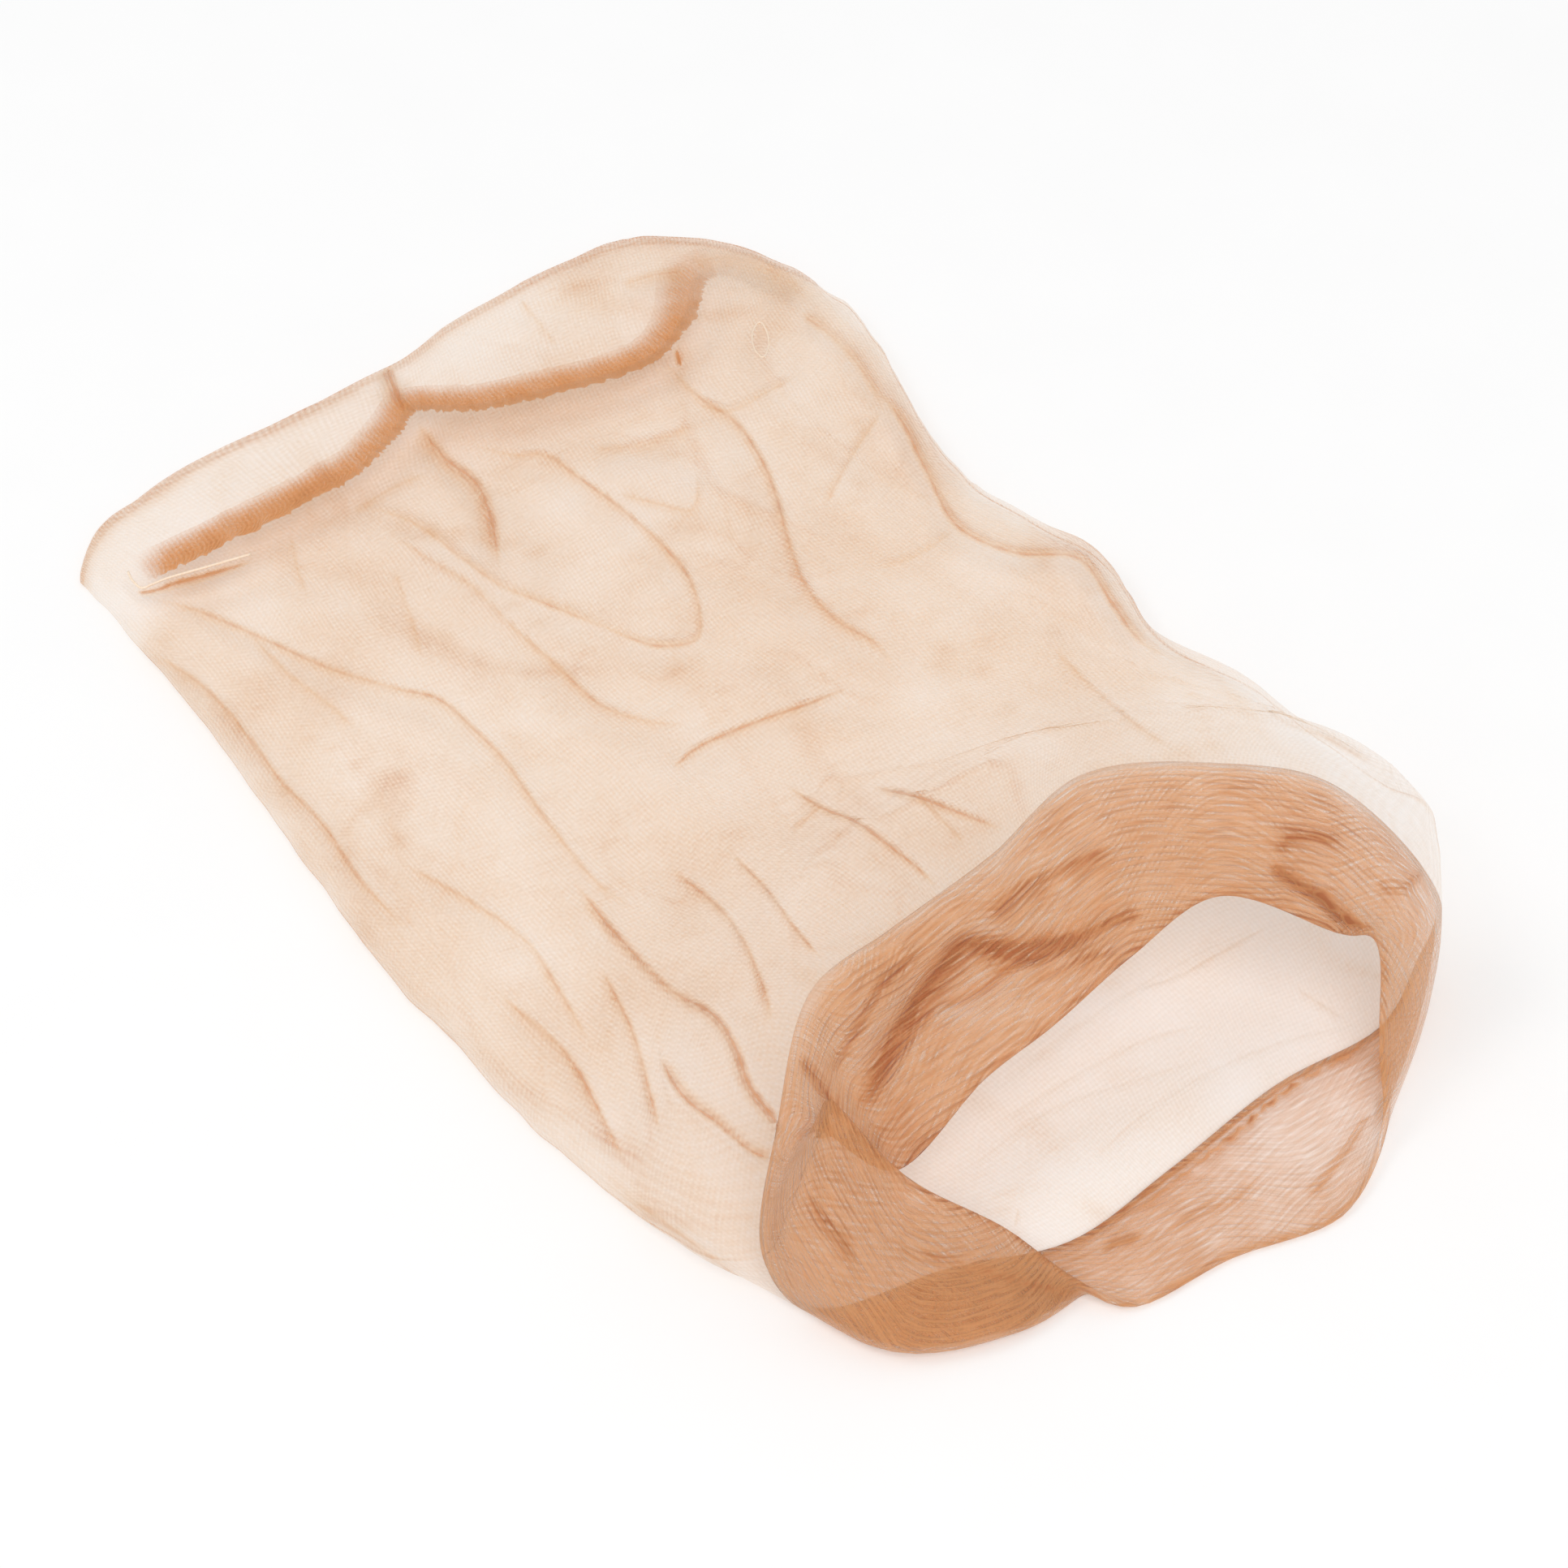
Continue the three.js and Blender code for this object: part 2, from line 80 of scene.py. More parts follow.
# Cross sections of the bag: where they are along it, their left and right side folds as shares of
# half width, how far those stand off the table as shares of the mouth height, how far the middle
# of the top layer sits behind them as a share of length, how slowly it reaches its height, and
# that height in shares of mouth, body and crown height, added up.
SECTIONS = [
    (0.19, -0.76, 1.195, 0.08, 0.28, 0.145, 1.0, 0.84, 0, 0),
    (0.24, -0.8, 1.22, 0.02, 0.1, 0.135, 1.1, 0.6, 0, 0),
    (0.3, -0.84, 1.205, 0, 0.05, 0.11, 1.0, 0.34, 0.3, 0),
    (0.36, -0.87, 1.195, 0, 0, 0.08, 0.9, 0.14, 0.7, 0),
    (0.44, -0.885, 1.11, 0, 0, 0.05, 0.8, 0.03, 0.95, 0),
    (0.52, -0.9, 1.15, 0, 0, 0.03, 0.75, 0, 1, 0),
    (0.58, -0.895, 1.095, 0, 0, 0.02, 0.75, 0, 0.97, 0),
    (0.64, -0.885, 1.045, 0, 0, 0.01, 0.75, 0, 0.9, 0),
    (0.72, -0.87, 1.09, 0, 0, 0.005, 0.75, 0, 0.65, 0.35),
    (0.8, -0.865, 1.15, 0, 0, 0, 0.7, 0, 0.35, 0.7),
    (0.85, -0.87, 1.18, 0, 0, 0, 0.65, 0, 0, 1.15),
]

# The crown fold and the seam, from left to right, across and along.
CROWN = [
    (-0.873, 0.9175), (-0.785, 0.954), (-0.614, 0.971), (-0.395, 0.978), (-0.09, 0.979),
    (0.14, 0.985), (0.29, 0.994), (0.46, 0.999), (0.68, 1.0), (0.85, 0.994), (0.985, 0.967),
    (1.08, 0.932), (1.17, 0.875),
]
SEAM = [
    (-0.77, 0.896), (-0.48, 0.893), (-0.18, 0.896), (-0.06, 0.91), (0.05, 0.924), (0.16, 0.903),
    (0.3, 0.888), (0.61, 0.869), (0.75, 0.888), (0.88, 0.925), (1.0, 0.915), (1.09, 0.862),
]
CORNER_ROUNDING = 3.0  # how soon the crown fold opens to its height from its two ends
CROWN_SHOULDER = 0.8  # where the last full ring lies, from the last section 0 to the crown fold 1
CROWN_PRESSED = 0.4  # how much flatter than the solid the sheer knit folds at the crown
PRESSED_STRIP = 0.014  # how far from the crown fold it is pressed
ROLL_STEEPNESS, ROLL_CURVE = 2.2, 0.8  # how the table layer comes down from a side fold

# Main folds of the top layer: from and to, then rise as a share of body height and half width of
# the ridge as a share of the cap's half width.
FOLDS = [
    ((-0.3, 0.83), (0.05, 0.62), 0.16, 0.07),
    ((0.1, 0.86), (0.62, 0.6), 0.2, 0.08),
    ((0.72, 0.8), (0.72, 0.55), 0.18, 0.08),
    ((0.62, 0.56), (0.95, 0.36), 0.14, 0.08),
    ((-0.62, 0.84), (-0.2, 0.55), 0.18, 0.08),
    ((-0.2, 0.55), (-0.12, 0.32), 0.2, 0.08),
    ((0.05, 0.6), (0.3, 0.42), 0.16, 0.08),
    ((-0.5, 0.5), (-0.45, 0.3), 0.16, 0.07),
]
FOLD_ENDS = (0.08, 0.92)  # a fold keeps a little height at its ends
FOLD_FREE_RINGS = 2  # from the joint, until folds have their full height
FOLD_FREE_EDGE = 2.5  # how soon they have it from a side fold

# Lengthwise pleats of the welt: from and to in stations, place from rim 0 to joint 1, depth as a
# share of mouth height, and spread.
PLEATS = [
    (1.2, 4.6, 0.5, -0.09, 0.16),
    (2.2, 5.2, 0.8, 0.04, 0.16),
    (5.8, 8.2, 0.25, -0.05, 0.16),
]

# Small creases of the whole bag: how many to a metre, knit added and height. They are thin lines
# along the bag rather than across it, and come and go.
CRUMPLES = [(13, 0.8, 0.0008), (30, 0.6, 0.0005), (65, 0.35, 0.0002)]
CRUMPLE_STRETCH = (1.5, 0.8, 4)
CRUMPLE_THIN = 0.045
CRUMPLE_GATE, CRUMPLE_SHARE = 1.5, 0.35
PATCH_SHIFT = 3  # to patches unlike the lines

# Uneven knit of the bag: patches to a metre, strength and a shift.
UNEVEN = [(28, 0.42, 0), (90, 0.3, 5)]
UPRIGHT = (1, 1, 4)  # the patches of the two layers differ

# The folded edges wander: how far, how often to a metre, and to what distance from a side fold, as
# a share of the bag, and from the crown fold.
WANDER, WANDER_OFTEN = 0.0011, 38
WANDER_SHIFT = 7  # sideways and lengthways differ
WANDER_SIDE, WANDER_CROWN = 0.5, 0.02
LOOSE = 0.02  # from the joint, until the knit wanders and creases freely

# Knit gathered where it turns over: layers added, and how far from the fold.
SIDE_GATHER, SIDE_GATHER_WIDTH = 2.4, 0.0009
CROWN_GATHER, CROWN_GATHER_WIDTH = 1.2, 0.0006

# The knit is stretched thin in a strip beyond the seam, more so at the left. The change lies
# between two places in half widths.
STRIP_THIN_RIGHT, STRIP_THIN_LEFT = 0.1, 0.45
STRIP_CHANGE = (0.75, 0.35)
STRIP_SPAN = (0, 0.004, 0.026, 0.006)  # from the crown fold

# It is also tight beside the mouth's right side, and on the table behind the mouth it is thinned as
# painted light, where light falls in through the mouth: how much, how far from the joint and over
# what length that ends.
TIGHT, TIGHT_REACH, TIGHT_FADE = 0.35, 0.12, 0.04
TIGHT_STATIONS = (5.6, 1.2, 10, 1)
MOUTH_LIGHT, MOUTH_LIGHT_REACH, MOUTH_LIGHT_FADE = 0.38, 0.09, 0.03

# The welt: its thickness, uneven knit and gathered rim, and its joint, which is darker and
# scalloped by stitches on the table, partly as painted shadow in the gap at the stitches, and
# thinner above.
WELT_THICK = 0.0012
WELT_UNEVEN, WELT_UNEVEN_OFTEN = 0.34, 50
RIM_GATHER, RIM_GATHER_WIDTH = 0.6, 0.0008
JOINT_STITCH_SHADE, JOINT_STITCH_SHADE_PLACE, JOINT_STITCH_SHADE_WIDTH = 1.6, 0.0004, 0.0005
SCALLOP, SCALLOP_SHARE = 0.0032, 0.4
JOINT_THIN, JOINT_THIN_WIDTH = 0.45, 0.005
LOWER_STATIONS = (9.2, 0.5, 13.8, 0.5)
UPPER_STATIONS = (1, 1, 8, 1)
STATION_FADE = 0.3  # at the ends of a welt crease's stations
STATION_PAST = 0.5  # how far past the left fold a crease from the last station goes
SPOT_EDGE = 1.4  # how far a thin spot reaches, in half axes

# How far the lines of knit drift, in millimetres, and how often to a metre.
BAG_DRIFT = (1.5, 45)
WELT_DRIFT = (0.8, 60)

# How creases are pressed: layers and rise on the line and beside it. The layers are partly knit
# doubled in the crease and partly painted shade, in the crease and on its shaded side.
ON_LINE_LAYERS, FLANK_SHADE_LAYERS, BESIDE_RISE = 0.7, 1.3, 0.5
CREASE_POINTS = 10  # of a crease's smooth line for each point of its path
CREASE_SPAN = (0, 0.15, 1, 0.2)  # shares of its way
CREASE_NEAR = 4  # widths beyond which a crease does nothing
CREASE_FREE_EDGE = 16  # how soon the bag's have full strength from a side fold
FLANK_CURVE = 1.5  # how soon the shaded side runs out
FLANK_ON_LINE = 0.3  # how strong the shaded side is on the line itself
OTHER_FLANK_SHARE = 0.45  # how much lighter, as painted light, and lower a crease's other side is, as a share of its shaded side

# The sharp edge of a crease: its width beside the crease, then the places across it with their
# strength, which trails off into painted shade on the crease's shaded side, and how it comes and
# goes, wavers, and rises over the crease.
FOLD_LINE = 0.5
BAG_FOLD_LAYERS, WELT_LINE_LAYERS = 2.6, 0.9  # for each layer that a crease adds
FOLD_LANES = [
    (-1.6, 0.0), (-0.9, 0.3), (-0.3, 0.85), (0.3, 1.0), (1.0, 0.75), (2.0, 0.4), (3.2, 0.15),
    (4.6, 0.0),
]
FOLD_SPAN = (0, 0.12, 1, 0.2)
FOLD_TIP = 0.5  # its width at the ends
FOLD_WAVER, WAVER_WIDTH = 0.9, 0.4  # in layers, and how much of that in width
WAVER_OFTEN, WAVER_PLACE = 0.05, 90  # to a row, and pixels to a place of the crease's own
FOLD_RISE = 0.35
FOLD_STRETCH = 4  # how much longer its knit is drawn
LINE_STEP = 4  # pixels along a crease from one row of points to the next
LINE_LIFT = 0.00015  # clear of the surface
LINE_REACHES = (1, 0.75, 0.5, 0.25, 0)  # shares of its width that are tried
SURFACE_STEP = 0.003  # a longer jump leads to another surface

# How finely the surfaces are divided.
TOP_STEPS = 29  # between two stations of the top layer
TABLE_STEPS = 8  # between two stations of the table layer
BAG_STEPS = 24  # between two of the bag's rings
WELT_STEPS = 60  # from rim to joint
EDGE_STEPS = 4  # round a folded edge
FOLD_STATIONS = (0.01, 0.03, 0.06, 0.09)  # extra ones beside each side fold

STATIONS = len(MOUTH)
RIGHT_STATION = STATIONS // 2
MILLIMETRES = 1000
KNIT_LIFT = 0.0004  # how far the knit clears the table
LEAST_HEIGHT = 0.0002  # of the welt's inner side

# The photograph's camera.
PHOTO = 1932
LENS = 100.0
SENSOR = 36.0
AZIMUTH = math.radians(-35)
ELEVATION = math.radians(50)
DISTANCE = 0.86
LOOK = np.array((-0.00933, -0.01453, 0.01696))
RIGHT = np.array((math.cos(AZIMUTH), math.sin(AZIMUTH), 0))
ABOVE = math.sin(ELEVATION)
UP = np.array((-math.sin(AZIMUTH) * ABOVE, math.cos(AZIMUTH) * ABOVE, math.cos(ELEVATION)))
BACK = np.cross(RIGHT, UP)
EYE = LOOK + DISTANCE * BACK
FOCAL = LENS / SENSOR * PHOTO
PIXEL = DISTANCE / FOCAL  # about the size of a photo pixel on the cap

# Creases of the bag's top layer: path in photo pixels, half width in pixels, layers of knit that it
# adds, which are partly painted shade, how far in pixels its shaded side reaches beside it, to the
# right of the path or, below 0, to its left, and how high the ridge stands.
BAG_CREASES = [
    # from the seam's pucker and across the crown
    ([(513, 520), (553, 567), (587, 593), (607, 640), (617, 713)], 10, 1.5, 32, 0.0009),
    ([(580, 547), (633, 560), (673, 560), (713, 587), (767, 627), (813, 667), (847, 707),
      (863, 753), (860, 787), (813, 797), (760, 780), (700, 747)], 5, 0.9, 24, 0.0008),
    ([(813, 440), (860, 487), (907, 520), (940, 567), (960, 620), (973, 667), (993, 720),
      (1027, 760), (1080, 793), (1110, 830)], 6, 0.9, 26, 0.001),
    ([(860, 500), (900, 507), (940, 487), (985, 463)], 5, 0.7, -14, 0.0006),
    ([(1087, 507), (1060, 547), (1033, 593), (1018, 625)], 5, 0.5, 20, 0.0005),
    ([(1175, 655), (1130, 685), (1080, 702)], 5, 0.4, 16, 0.0004),
    ([(487, 700), (500, 740), (513, 780), (520, 810)], 5, 0.5, 14, 0.0005),
    ([(360, 660), (367, 700), (380, 733)], 5, 0.35, 14, 0.0004),
    ([(433, 633), (473, 607), (527, 580)], 6, 0.4, 16, 0.0004),
    ([(640, 367), (667, 400), (687, 427)], 5, 0.5, 12, 0.0004),
    ([(760, 607), (813, 620), (853, 627), (860, 580)], 5, 0.4, 14, 0.0004),
    ([(727, 553), (793, 547), (860, 520)], 8, 0.35, 24, 0.0005),
    ([(985, 388), (1020, 412), (1060, 455), (1090, 510)], 8, 0.8, -30, 0.0005),
    # long folds from the left corner and down the middle
    ([(173, 733), (247, 753), (327, 787), (400, 820), (487, 847), (540, 860), (580, 893),
      (620, 933), (667, 1000), (740, 1090), (800, 1130)], 5, 0.8, 26, 0.0009),
    ([(307, 780), (360, 833), (413, 873), (440, 900)], 5, 0.5, 18, 0.0005),
    ([(487, 660), (527, 687), (580, 720), (627, 767), (687, 820), (740, 867), (793, 887),
      (860, 893)], 5, 0.7, 24, 0.0008),
    ([(440, 620), (513, 647), (567, 687), (613, 720), (660, 740), (727, 767), (793, 793)],
     5, 0.6, -20, 0.0007),
    ([(827, 947), (860, 920), (920, 893), (993, 867), (1047, 847)], 4, 1.0, 16, 0.0006),
    ([(490, 1060), (580, 1110), (650, 1160), (690, 1220), (730, 1290)], 5, 0.7, 26, 0.0006),
    ([(1300, 800), (1350, 850), (1394, 887), (1455, 930)], 5, 0.45, 18, 0.0005),
    # gathers in front of the welt
    ([(700, 1075), (760, 1150), (830, 1220), (881, 1250), (906, 1287), (925, 1337), (956, 1381),
      (964, 1420)], 7, 1.3, 20, 0.0013),
    ([(610, 1220), (700, 1300), (740, 1370), (770, 1430)], 6, 1.1, 28, 0.0008),
    ([(740, 1190), (780, 1270), (800, 1340), (815, 1400)], 5, 0.9, 24, 0.0007),
    ([(810, 1300), (840, 1350), (887, 1387), (925, 1419), (964, 1433)], 7, 1.3, -16, 0.0012),
    ([(820, 1065), (888, 1119), (919, 1163), (944, 1225), (952, 1260)], 5, 0.8, 20, 0.0008),
    ([(900, 1050), (944, 1094), (981, 1144), (1014, 1183)], 4, 0.9, 16, 0.0006),
    ([(962, 962), (1012, 994), (1056, 1012), (1100, 1044), (1131, 1069), (1158, 1096)],
     4, 1.0, 18, 0.0006),
    ([(1014, 992), (975, 1027)], 4, 0.6, 10, 0.0004),
    ([(1075, 969), (1131, 981), (1181, 1000), (1236, 1021)], 5, 1.1, 14, 0.0006),
    ([(1131, 981), (1160, 1008), (1190, 1040)], 4, 0.6, 10, 0.0004),
    # the doubled strips inside the side folds
    ([(183, 800), (253, 847), (307, 907), (350, 965), (395, 1010), (450, 1090), (510, 1150)],
     5, 0.8, 34, 0.0007),
    ([(1073, 470), (1110, 520), (1140, 580), (1180, 650), (1250, 682), (1330, 690), (1370, 745),
      (1410, 795), (1500, 830)], 6, 1.1, -38, 0.0006),
    ([(1550, 868), (1587, 893), (1637, 912), (1700, 950)], 6, 0.5, -20, 0.0004),
    ([(760, 1462), (850, 1528), (912, 1574), (975, 1612), (1030, 1645)], 6, 0.6, 26, 0.0005),
    # where the seam puckers and where it runs out
    ([(478, 452), (488, 480), (502, 512)], 9, 1.6, 14, 0.0006),
    ([(765, 350), (805, 338), (850, 332)], 9, 0.5, 20, 0.0004),
    ([(850, 322), (900, 316), (950, 332), (1010, 368)], 16, 0.45, 30, 0.0003),
    # painted shadow under the loose thread, a dark line with no ridge
    ([(168, 730), (190, 727), (215, 718), (260, 706), (315, 690)], 4, 2.4, 6, 0),
    # a pulled stitch beside the seam
    ([(834, 431), (840, 452)], 3, 5.0, 3, 0),
]

# Faint creases of the table layer where the mouth shows it, their knit partly painted shade as on
# the bag.
TABLE_CREASES = [
    ([(1400, 1219), (1450, 1203), (1500, 1175), (1569, 1137)], 3, 0.25, 10, 0),
    ([(1225, 1387), (1325, 1325), (1412, 1281), (1480, 1262)], 4, 0.1, 14, 0),
    ([(1250, 1512), (1254, 1490)], 3, 0.3, 6, 0),
    ([(1600, 1219), (1630, 1238), (1656, 1256)], 4, 0.15, 8, 0),
    ([(1180, 1450), (1290, 1370), (1400, 1330), (1500, 1300)], 4, 0.08, 12, 0),
    ([(1230, 1340), (1330, 1262), (1450, 1188), (1530, 1150)], 4, 0.08, 12, 0),
    ([(1330, 1440), (1440, 1350), (1560, 1290), (1670, 1262)], 4, 0.08, 12, 0),
]

# The line of the painted shadow under the roll of the rim, above the mouth's right corner.
RIM_ROLL_SHADE_LINE = [(1562, 1066), (1594, 1087), (1625, 1106), (1662, 1137), (1700, 1151)]

# Creases of the welt, with the stations between which they lie. The knit they add is partly painted
# shade, in the crease and on its shaded side.
WELT_CREASES = [
    ([(1362, 1144), (1287, 1156), (1225, 1162), (1187, 1162), (1156, 1200), (1125, 1244),
      (1087, 1300), (1069, 1337), (1046, 1372)], 13, 1.25, -40, -0.0012, (1.2, 6)),
    ([(1412, 1131), (1375, 1137), (1325, 1162), (1275, 1181), (1200, 1178)], 8, 0.8, 20, -0.0006,
     (2, 6.5)),
    ([(1375, 1040), (1300, 1070), (1240, 1100), (1212, 1140)], 14, 0.9, -44, 0.0008, (2, 6)),
    ([(1149, 1241), (1206, 1216), (1249, 1184), (1302, 1172)], 6, 0.8, 12, -0.0004, (1.5, 6)),
    # painted shadow under the rim's roll, pressed in a little
    (RIM_ROLL_SHADE_LINE, 6, 2.6, -9, -0.0006, (5.5, 8.4)),
    ([(1569, 1052), (1587, 1031), (1619, 1027), (1660, 1035)], 12, 0.9, 18, 0.0008, (5, 8)),
    ([(1694, 1087), (1725, 1092), (1750, 1069)], 12, 0.8, 18, 0.0006, (6.4, 9)),
    ([(1706, 1287), (1709, 1350), (1700, 1400)], 5, 0.8, 10, -0.0004, (8, 11)),
    ([(987, 1300), (1019, 1344), (1040, 1380)], 6, 1.4, 8, -0.0004, (0, 2.5)),
    ([(1000, 1480), (1030, 1515), (1060, 1545)], 16, 0.9, 24, 0.0006, (14, 16)),
    ([(1100, 1537), (1162, 1550), (1250, 1575), (1325, 1594), (1352, 1606)], 6, 0.8, 12, -0.0004,
     (12, 16)),
    ([(1362, 1531), (1385, 1530), (1400, 1518)], 9, 1.3, 12, -0.0003, (10, 13.6)),
    ([(1440, 1520), (1480, 1490), (1520, 1480), (1545, 1440)], 7, 0.7, 14, 0.0004, (9, 13)),
    ([(1616, 1480), (1640, 1450), (1668, 1410), (1690, 1370)], 6, 0.7, -14, 0.0004, (9, 13)),
    ([(1060, 1402), (1098, 1335), (1138, 1268), (1182, 1228)], 9, -0.45, 4, 0.0008, (1.2, 6)),
    ([(1025, 1335), (1060, 1275), (1095, 1215), (1150, 1168)], 6, 0.7, -14, -0.0005, (1.2, 6)),
    ([(1240, 1225), (1310, 1190), (1380, 1165)], 6, 0.5, 10, -0.0004, (2, 6)),
]

# Sharp lines of the welt, as creases: its stitched edge on the table, partly stitches and partly
# painted shadow in the gap at them, the painted shadow under the roll of the rim above the mouth's
# right corner, and the painted shade in the deep fold over the mouth. The last column is how far
# the stitches pull the line aside, in pixels.
WELT_LINES = [
    ([(1690, 1281), (1645, 1306), (1604, 1328), (1566, 1354), (1533, 1384), (1494, 1415),
      (1457, 1446), (1404, 1487), (1356, 1524)], 4, 1.7, -10, 0.0002, 3),
    # the sharp edge of the same painted shadow
    (RIM_ROLL_SHADE_LINE, 6, 2.4, -8, 0.0002, 3),
    ([(1400, 1092), (1345, 1122), (1289, 1151), (1254, 1159), (1193, 1159), (1145, 1207),
      (1123, 1235), (1078, 1330), (1043, 1372)], 6, 0.55, -14, 0.0002, 2),
    ([(1412, 1131), (1375, 1137), (1325, 1162), (1275, 1181), (1206, 1216), (1149, 1241)],
     5, 0.5, 10, 0.0002, 2),
]
STITCH = 24  # pixels from one stitch to the next

# How thick the welt's knit is round the mouth: station, and layers beside those of its middle.
WELT_LAYERS = [
    (0, 0.85), (1.5, 0.97), (2.5, 1.03), (7, 1.03), (8, 0.68), (9, 0.5), (12.5, 0.5), (13.3, 0.7),
    (14, 0.9), (16, 0.85),
]

# Thin spots of the welt: centre and half axes in photo pixels, layers added, and stations.
WELT_THIN_SPOTS = [
    ((1615, 1385), (105, 80), -0.5, (9, 12.5)),
    ((1215, 1232), (70, 40), -0.3, (2, 6)),
]


def mix(a, b, share):
    return a + (b - a) * share


def smooth(x):
    x = np.clip(x, 0, 1)
    return x * x * (3 - 2 * x)


def unit(vectors):
    return vectors / np.maximum(np.linalg.norm(vectors, axis=-1, keepdims=True), 1e-12)


def between(x, first, fade_in, last, fade_out):
    """1 inside a span, given by its first value and fade, then its last value and fade."""
    return smooth((x - first) / fade_in) * smooth((last - x) / fade_out)


def bell(distance, width):
    """1 at no distance, and next to nothing beyond two widths."""
    return np.exp(-((distance / width) ** 2))


def through(points, places, closed=False):
    """Points of a smooth line through points, at places counted in points from the first."""
    points = np.asarray(points, float)
    places = np.asarray(places, float)
    count = len(points)
    first = np.clip(np.floor(places).astype(int), 0, count - (1 if closed else 2))
    share = (places - first).reshape(places.shape + (1,) * (points.ndim - 1))
    if closed:
        p0, p1, p2, p3 = (points[(first + k) % count] for k in (-1, 0, 1, 2))
    else:
        before = 2 * points[:1] - points[1:2]
        after = 2 * points[-1:] - points[-2:-1]
        padded = np.concatenate([before, points, after])
        p0, p1, p2, p3 = (padded[first + k] for k in range(4))
    d0, d1, d2 = (
        np.maximum(np.linalg.norm(b - a, axis=-1, keepdims=True), 1e-9) ** 0.5
        for a, b in ((p0, p1), (p1, p2), (p2, p3))
    )
    start = d1 * ((p1 - p0) / d0 - (p2 - p0) / (d0 + d1) + (p2 - p1) / d1)
    end = d1 * ((p2 - p1) / d1 - (p3 - p1) / (d1 + d2) + (p3 - p2) / d2)
    bend = (3 * (p2 - p1) - 2 * start - end) * share**2
    return p1 + start * share + bend + (2 * (p1 - p2) + start + end) * share**3


def turn(stations):
    """Share of the way from the left fold to the right, how far into a layer, and if on top."""
    angle = math.pi * stations / RIGHT_STATION
    return (1 - np.cos(angle)) / 2, np.abs(np.sin(angle)), stations < RIGHT_STATION


def stations_round():
    top = np.arange(RIGHT_STATION * TOP_STEPS) / TOP_STEPS
    table = RIGHT_STATION + np.arange(RIGHT_STATION * TABLE_STEPS) / TABLE_STEPS
    step = np.array(FOLD_STATIONS)
    extra = RIGHT_STATION - step, RIGHT_STATION + step, STATIONS - step
    return np.sort(np.concatenate([top, table, *extra]))


def section_ring(row, stations):
    """One ring of the bag, from a row of its sections."""
    along, left, right, left_lift, right_lift, back, swell, mouth, body, crown = row
    side, inward, top = turn(stations)
    fold = SIDE_FOLD_HEIGHT + mix(left_lift, right_lift, side) * MOUTH_HEIGHT
    height = mouth * MOUTH_HEIGHT + body * BODY_HEIGHT + crown * CROWN_HEIGHT
    on_table = fold * np.maximum(0, 1 - ROLL_STEEPNESS * inward**ROLL_CURVE)
    return np.stack([
        mix(left, right, side) * HALF_WIDTH,
        along * LENGTH + np.where(top, back * LENGTH * inward, 0),
        np.where(top, mix(fold, height, inward**swell), on_table),
    ], -1)


def crown_ring(stations):
    """The ring at the crown fold, where both layers almost meet."""
    side, inward, top = turn(stations)
    line = through(CROWN, side * (len(CROWN) - 1))
    opened = np.where(top, 1, -1) * np.minimum(1, CORNER_ROUNDING * inward)
    return np.stack([
        line[:, 0] * HALF_WIDTH, line[:, 1] * LENGTH, CROWN_END_HEIGHT / 2 * (1 + opened),
    ], -1)


def shoulder_ring(last, end, stations):
    """The last full ring, between the last section and the crown fold."""
    _, inward, top = turn(stations)
    opened = np.minimum(1, CORNER_ROUNDING * inward)
    ring = mix(last, end, CROWN_SHOULDER)
    full = np.where(top, CROWN_HEIGHT, 0)
    ring[:, 2] = mix(CROWN_END_HEIGHT / 2, full, np.where(top, (opened + inward) / 2, opened))
    return ring


def fold_rise(points):
    """How far the main folds lift each point of the top layer."""
    rise = np.zeros(points.shape[:-1])
    for start, end, height, spread in FOLDS:
        start, end = (np.array((p[0] * HALF_WIDTH, p[1] * LENGTH)) for p in (start, end))
        line = end - start
        here = points[..., :2] - start
        share = np.clip(here @ line / (line @ line), 0, 1)
        apart = np.linalg.norm(here - share[..., None] * line, axis=-1)
        ridge = bell(apart, spread * HALF_WIDTH)
        rise += height * BODY_HEIGHT * ridge * np.sin(math.pi * mix(*FOLD_ENDS, share))
    return rise


def pleat_rise(stations, share):
    """How far the pleats lift a ring of the welt, share of the way from rim to joint."""
    rise = np.zeros_like(stations)
    for first, last, place, depth, spread in PLEATS:
        along = np.sin(math.pi * np.clip((stations - first) / (last - first), 0, 1))
        rise += depth * MOUTH_HEIGHT * along * math.exp(-(((share - place) / spread) ** 2))
    return rise


def cap_surface():
    """Grids of the welt and of the bag, rings from rim to crown, in the tables' own frame."""
    stations = stations_round()
    _, inward, top = turn(stations)
    size = (HALF_WIDTH, LENGTH, MOUTH_HEIGHT)
    rings = [through(np.array(ring) * size, stations, closed=True) for ring in zip(*MOUTH)]
    rings += [section_ring(row, stations) for row in SECTIONS]
    end = crown_ring(stations)
    rings += [shoulder_ring(rings[-1], end, stations), end]
    rings = np.array(rings)
    welt_share = np.arange(WELT_STEPS + 1) / WELT_STEPS
    welt = through(rings, 2 * welt_share)
    for row, share in zip(welt, welt_share):
        row[:, 2] += pleat_rise(stations, share)
    spans = len(rings) - 3
    bag_place = np.arange(spans * BAG_STEPS + 1) / BAG_STEPS
    bag = through(rings, 2 + bag_place)
    fade = smooth(bag_place / FOLD_FREE_RINGS)[:, None]
    bag[..., 2] += fold_rise(bag) * smooth(FOLD_FREE_EDGE * inward) * fade * top
    for grid in (welt, bag):
        grid[..., 2] = np.maximum(grid[..., 2], 0)
    return stations, welt, bag


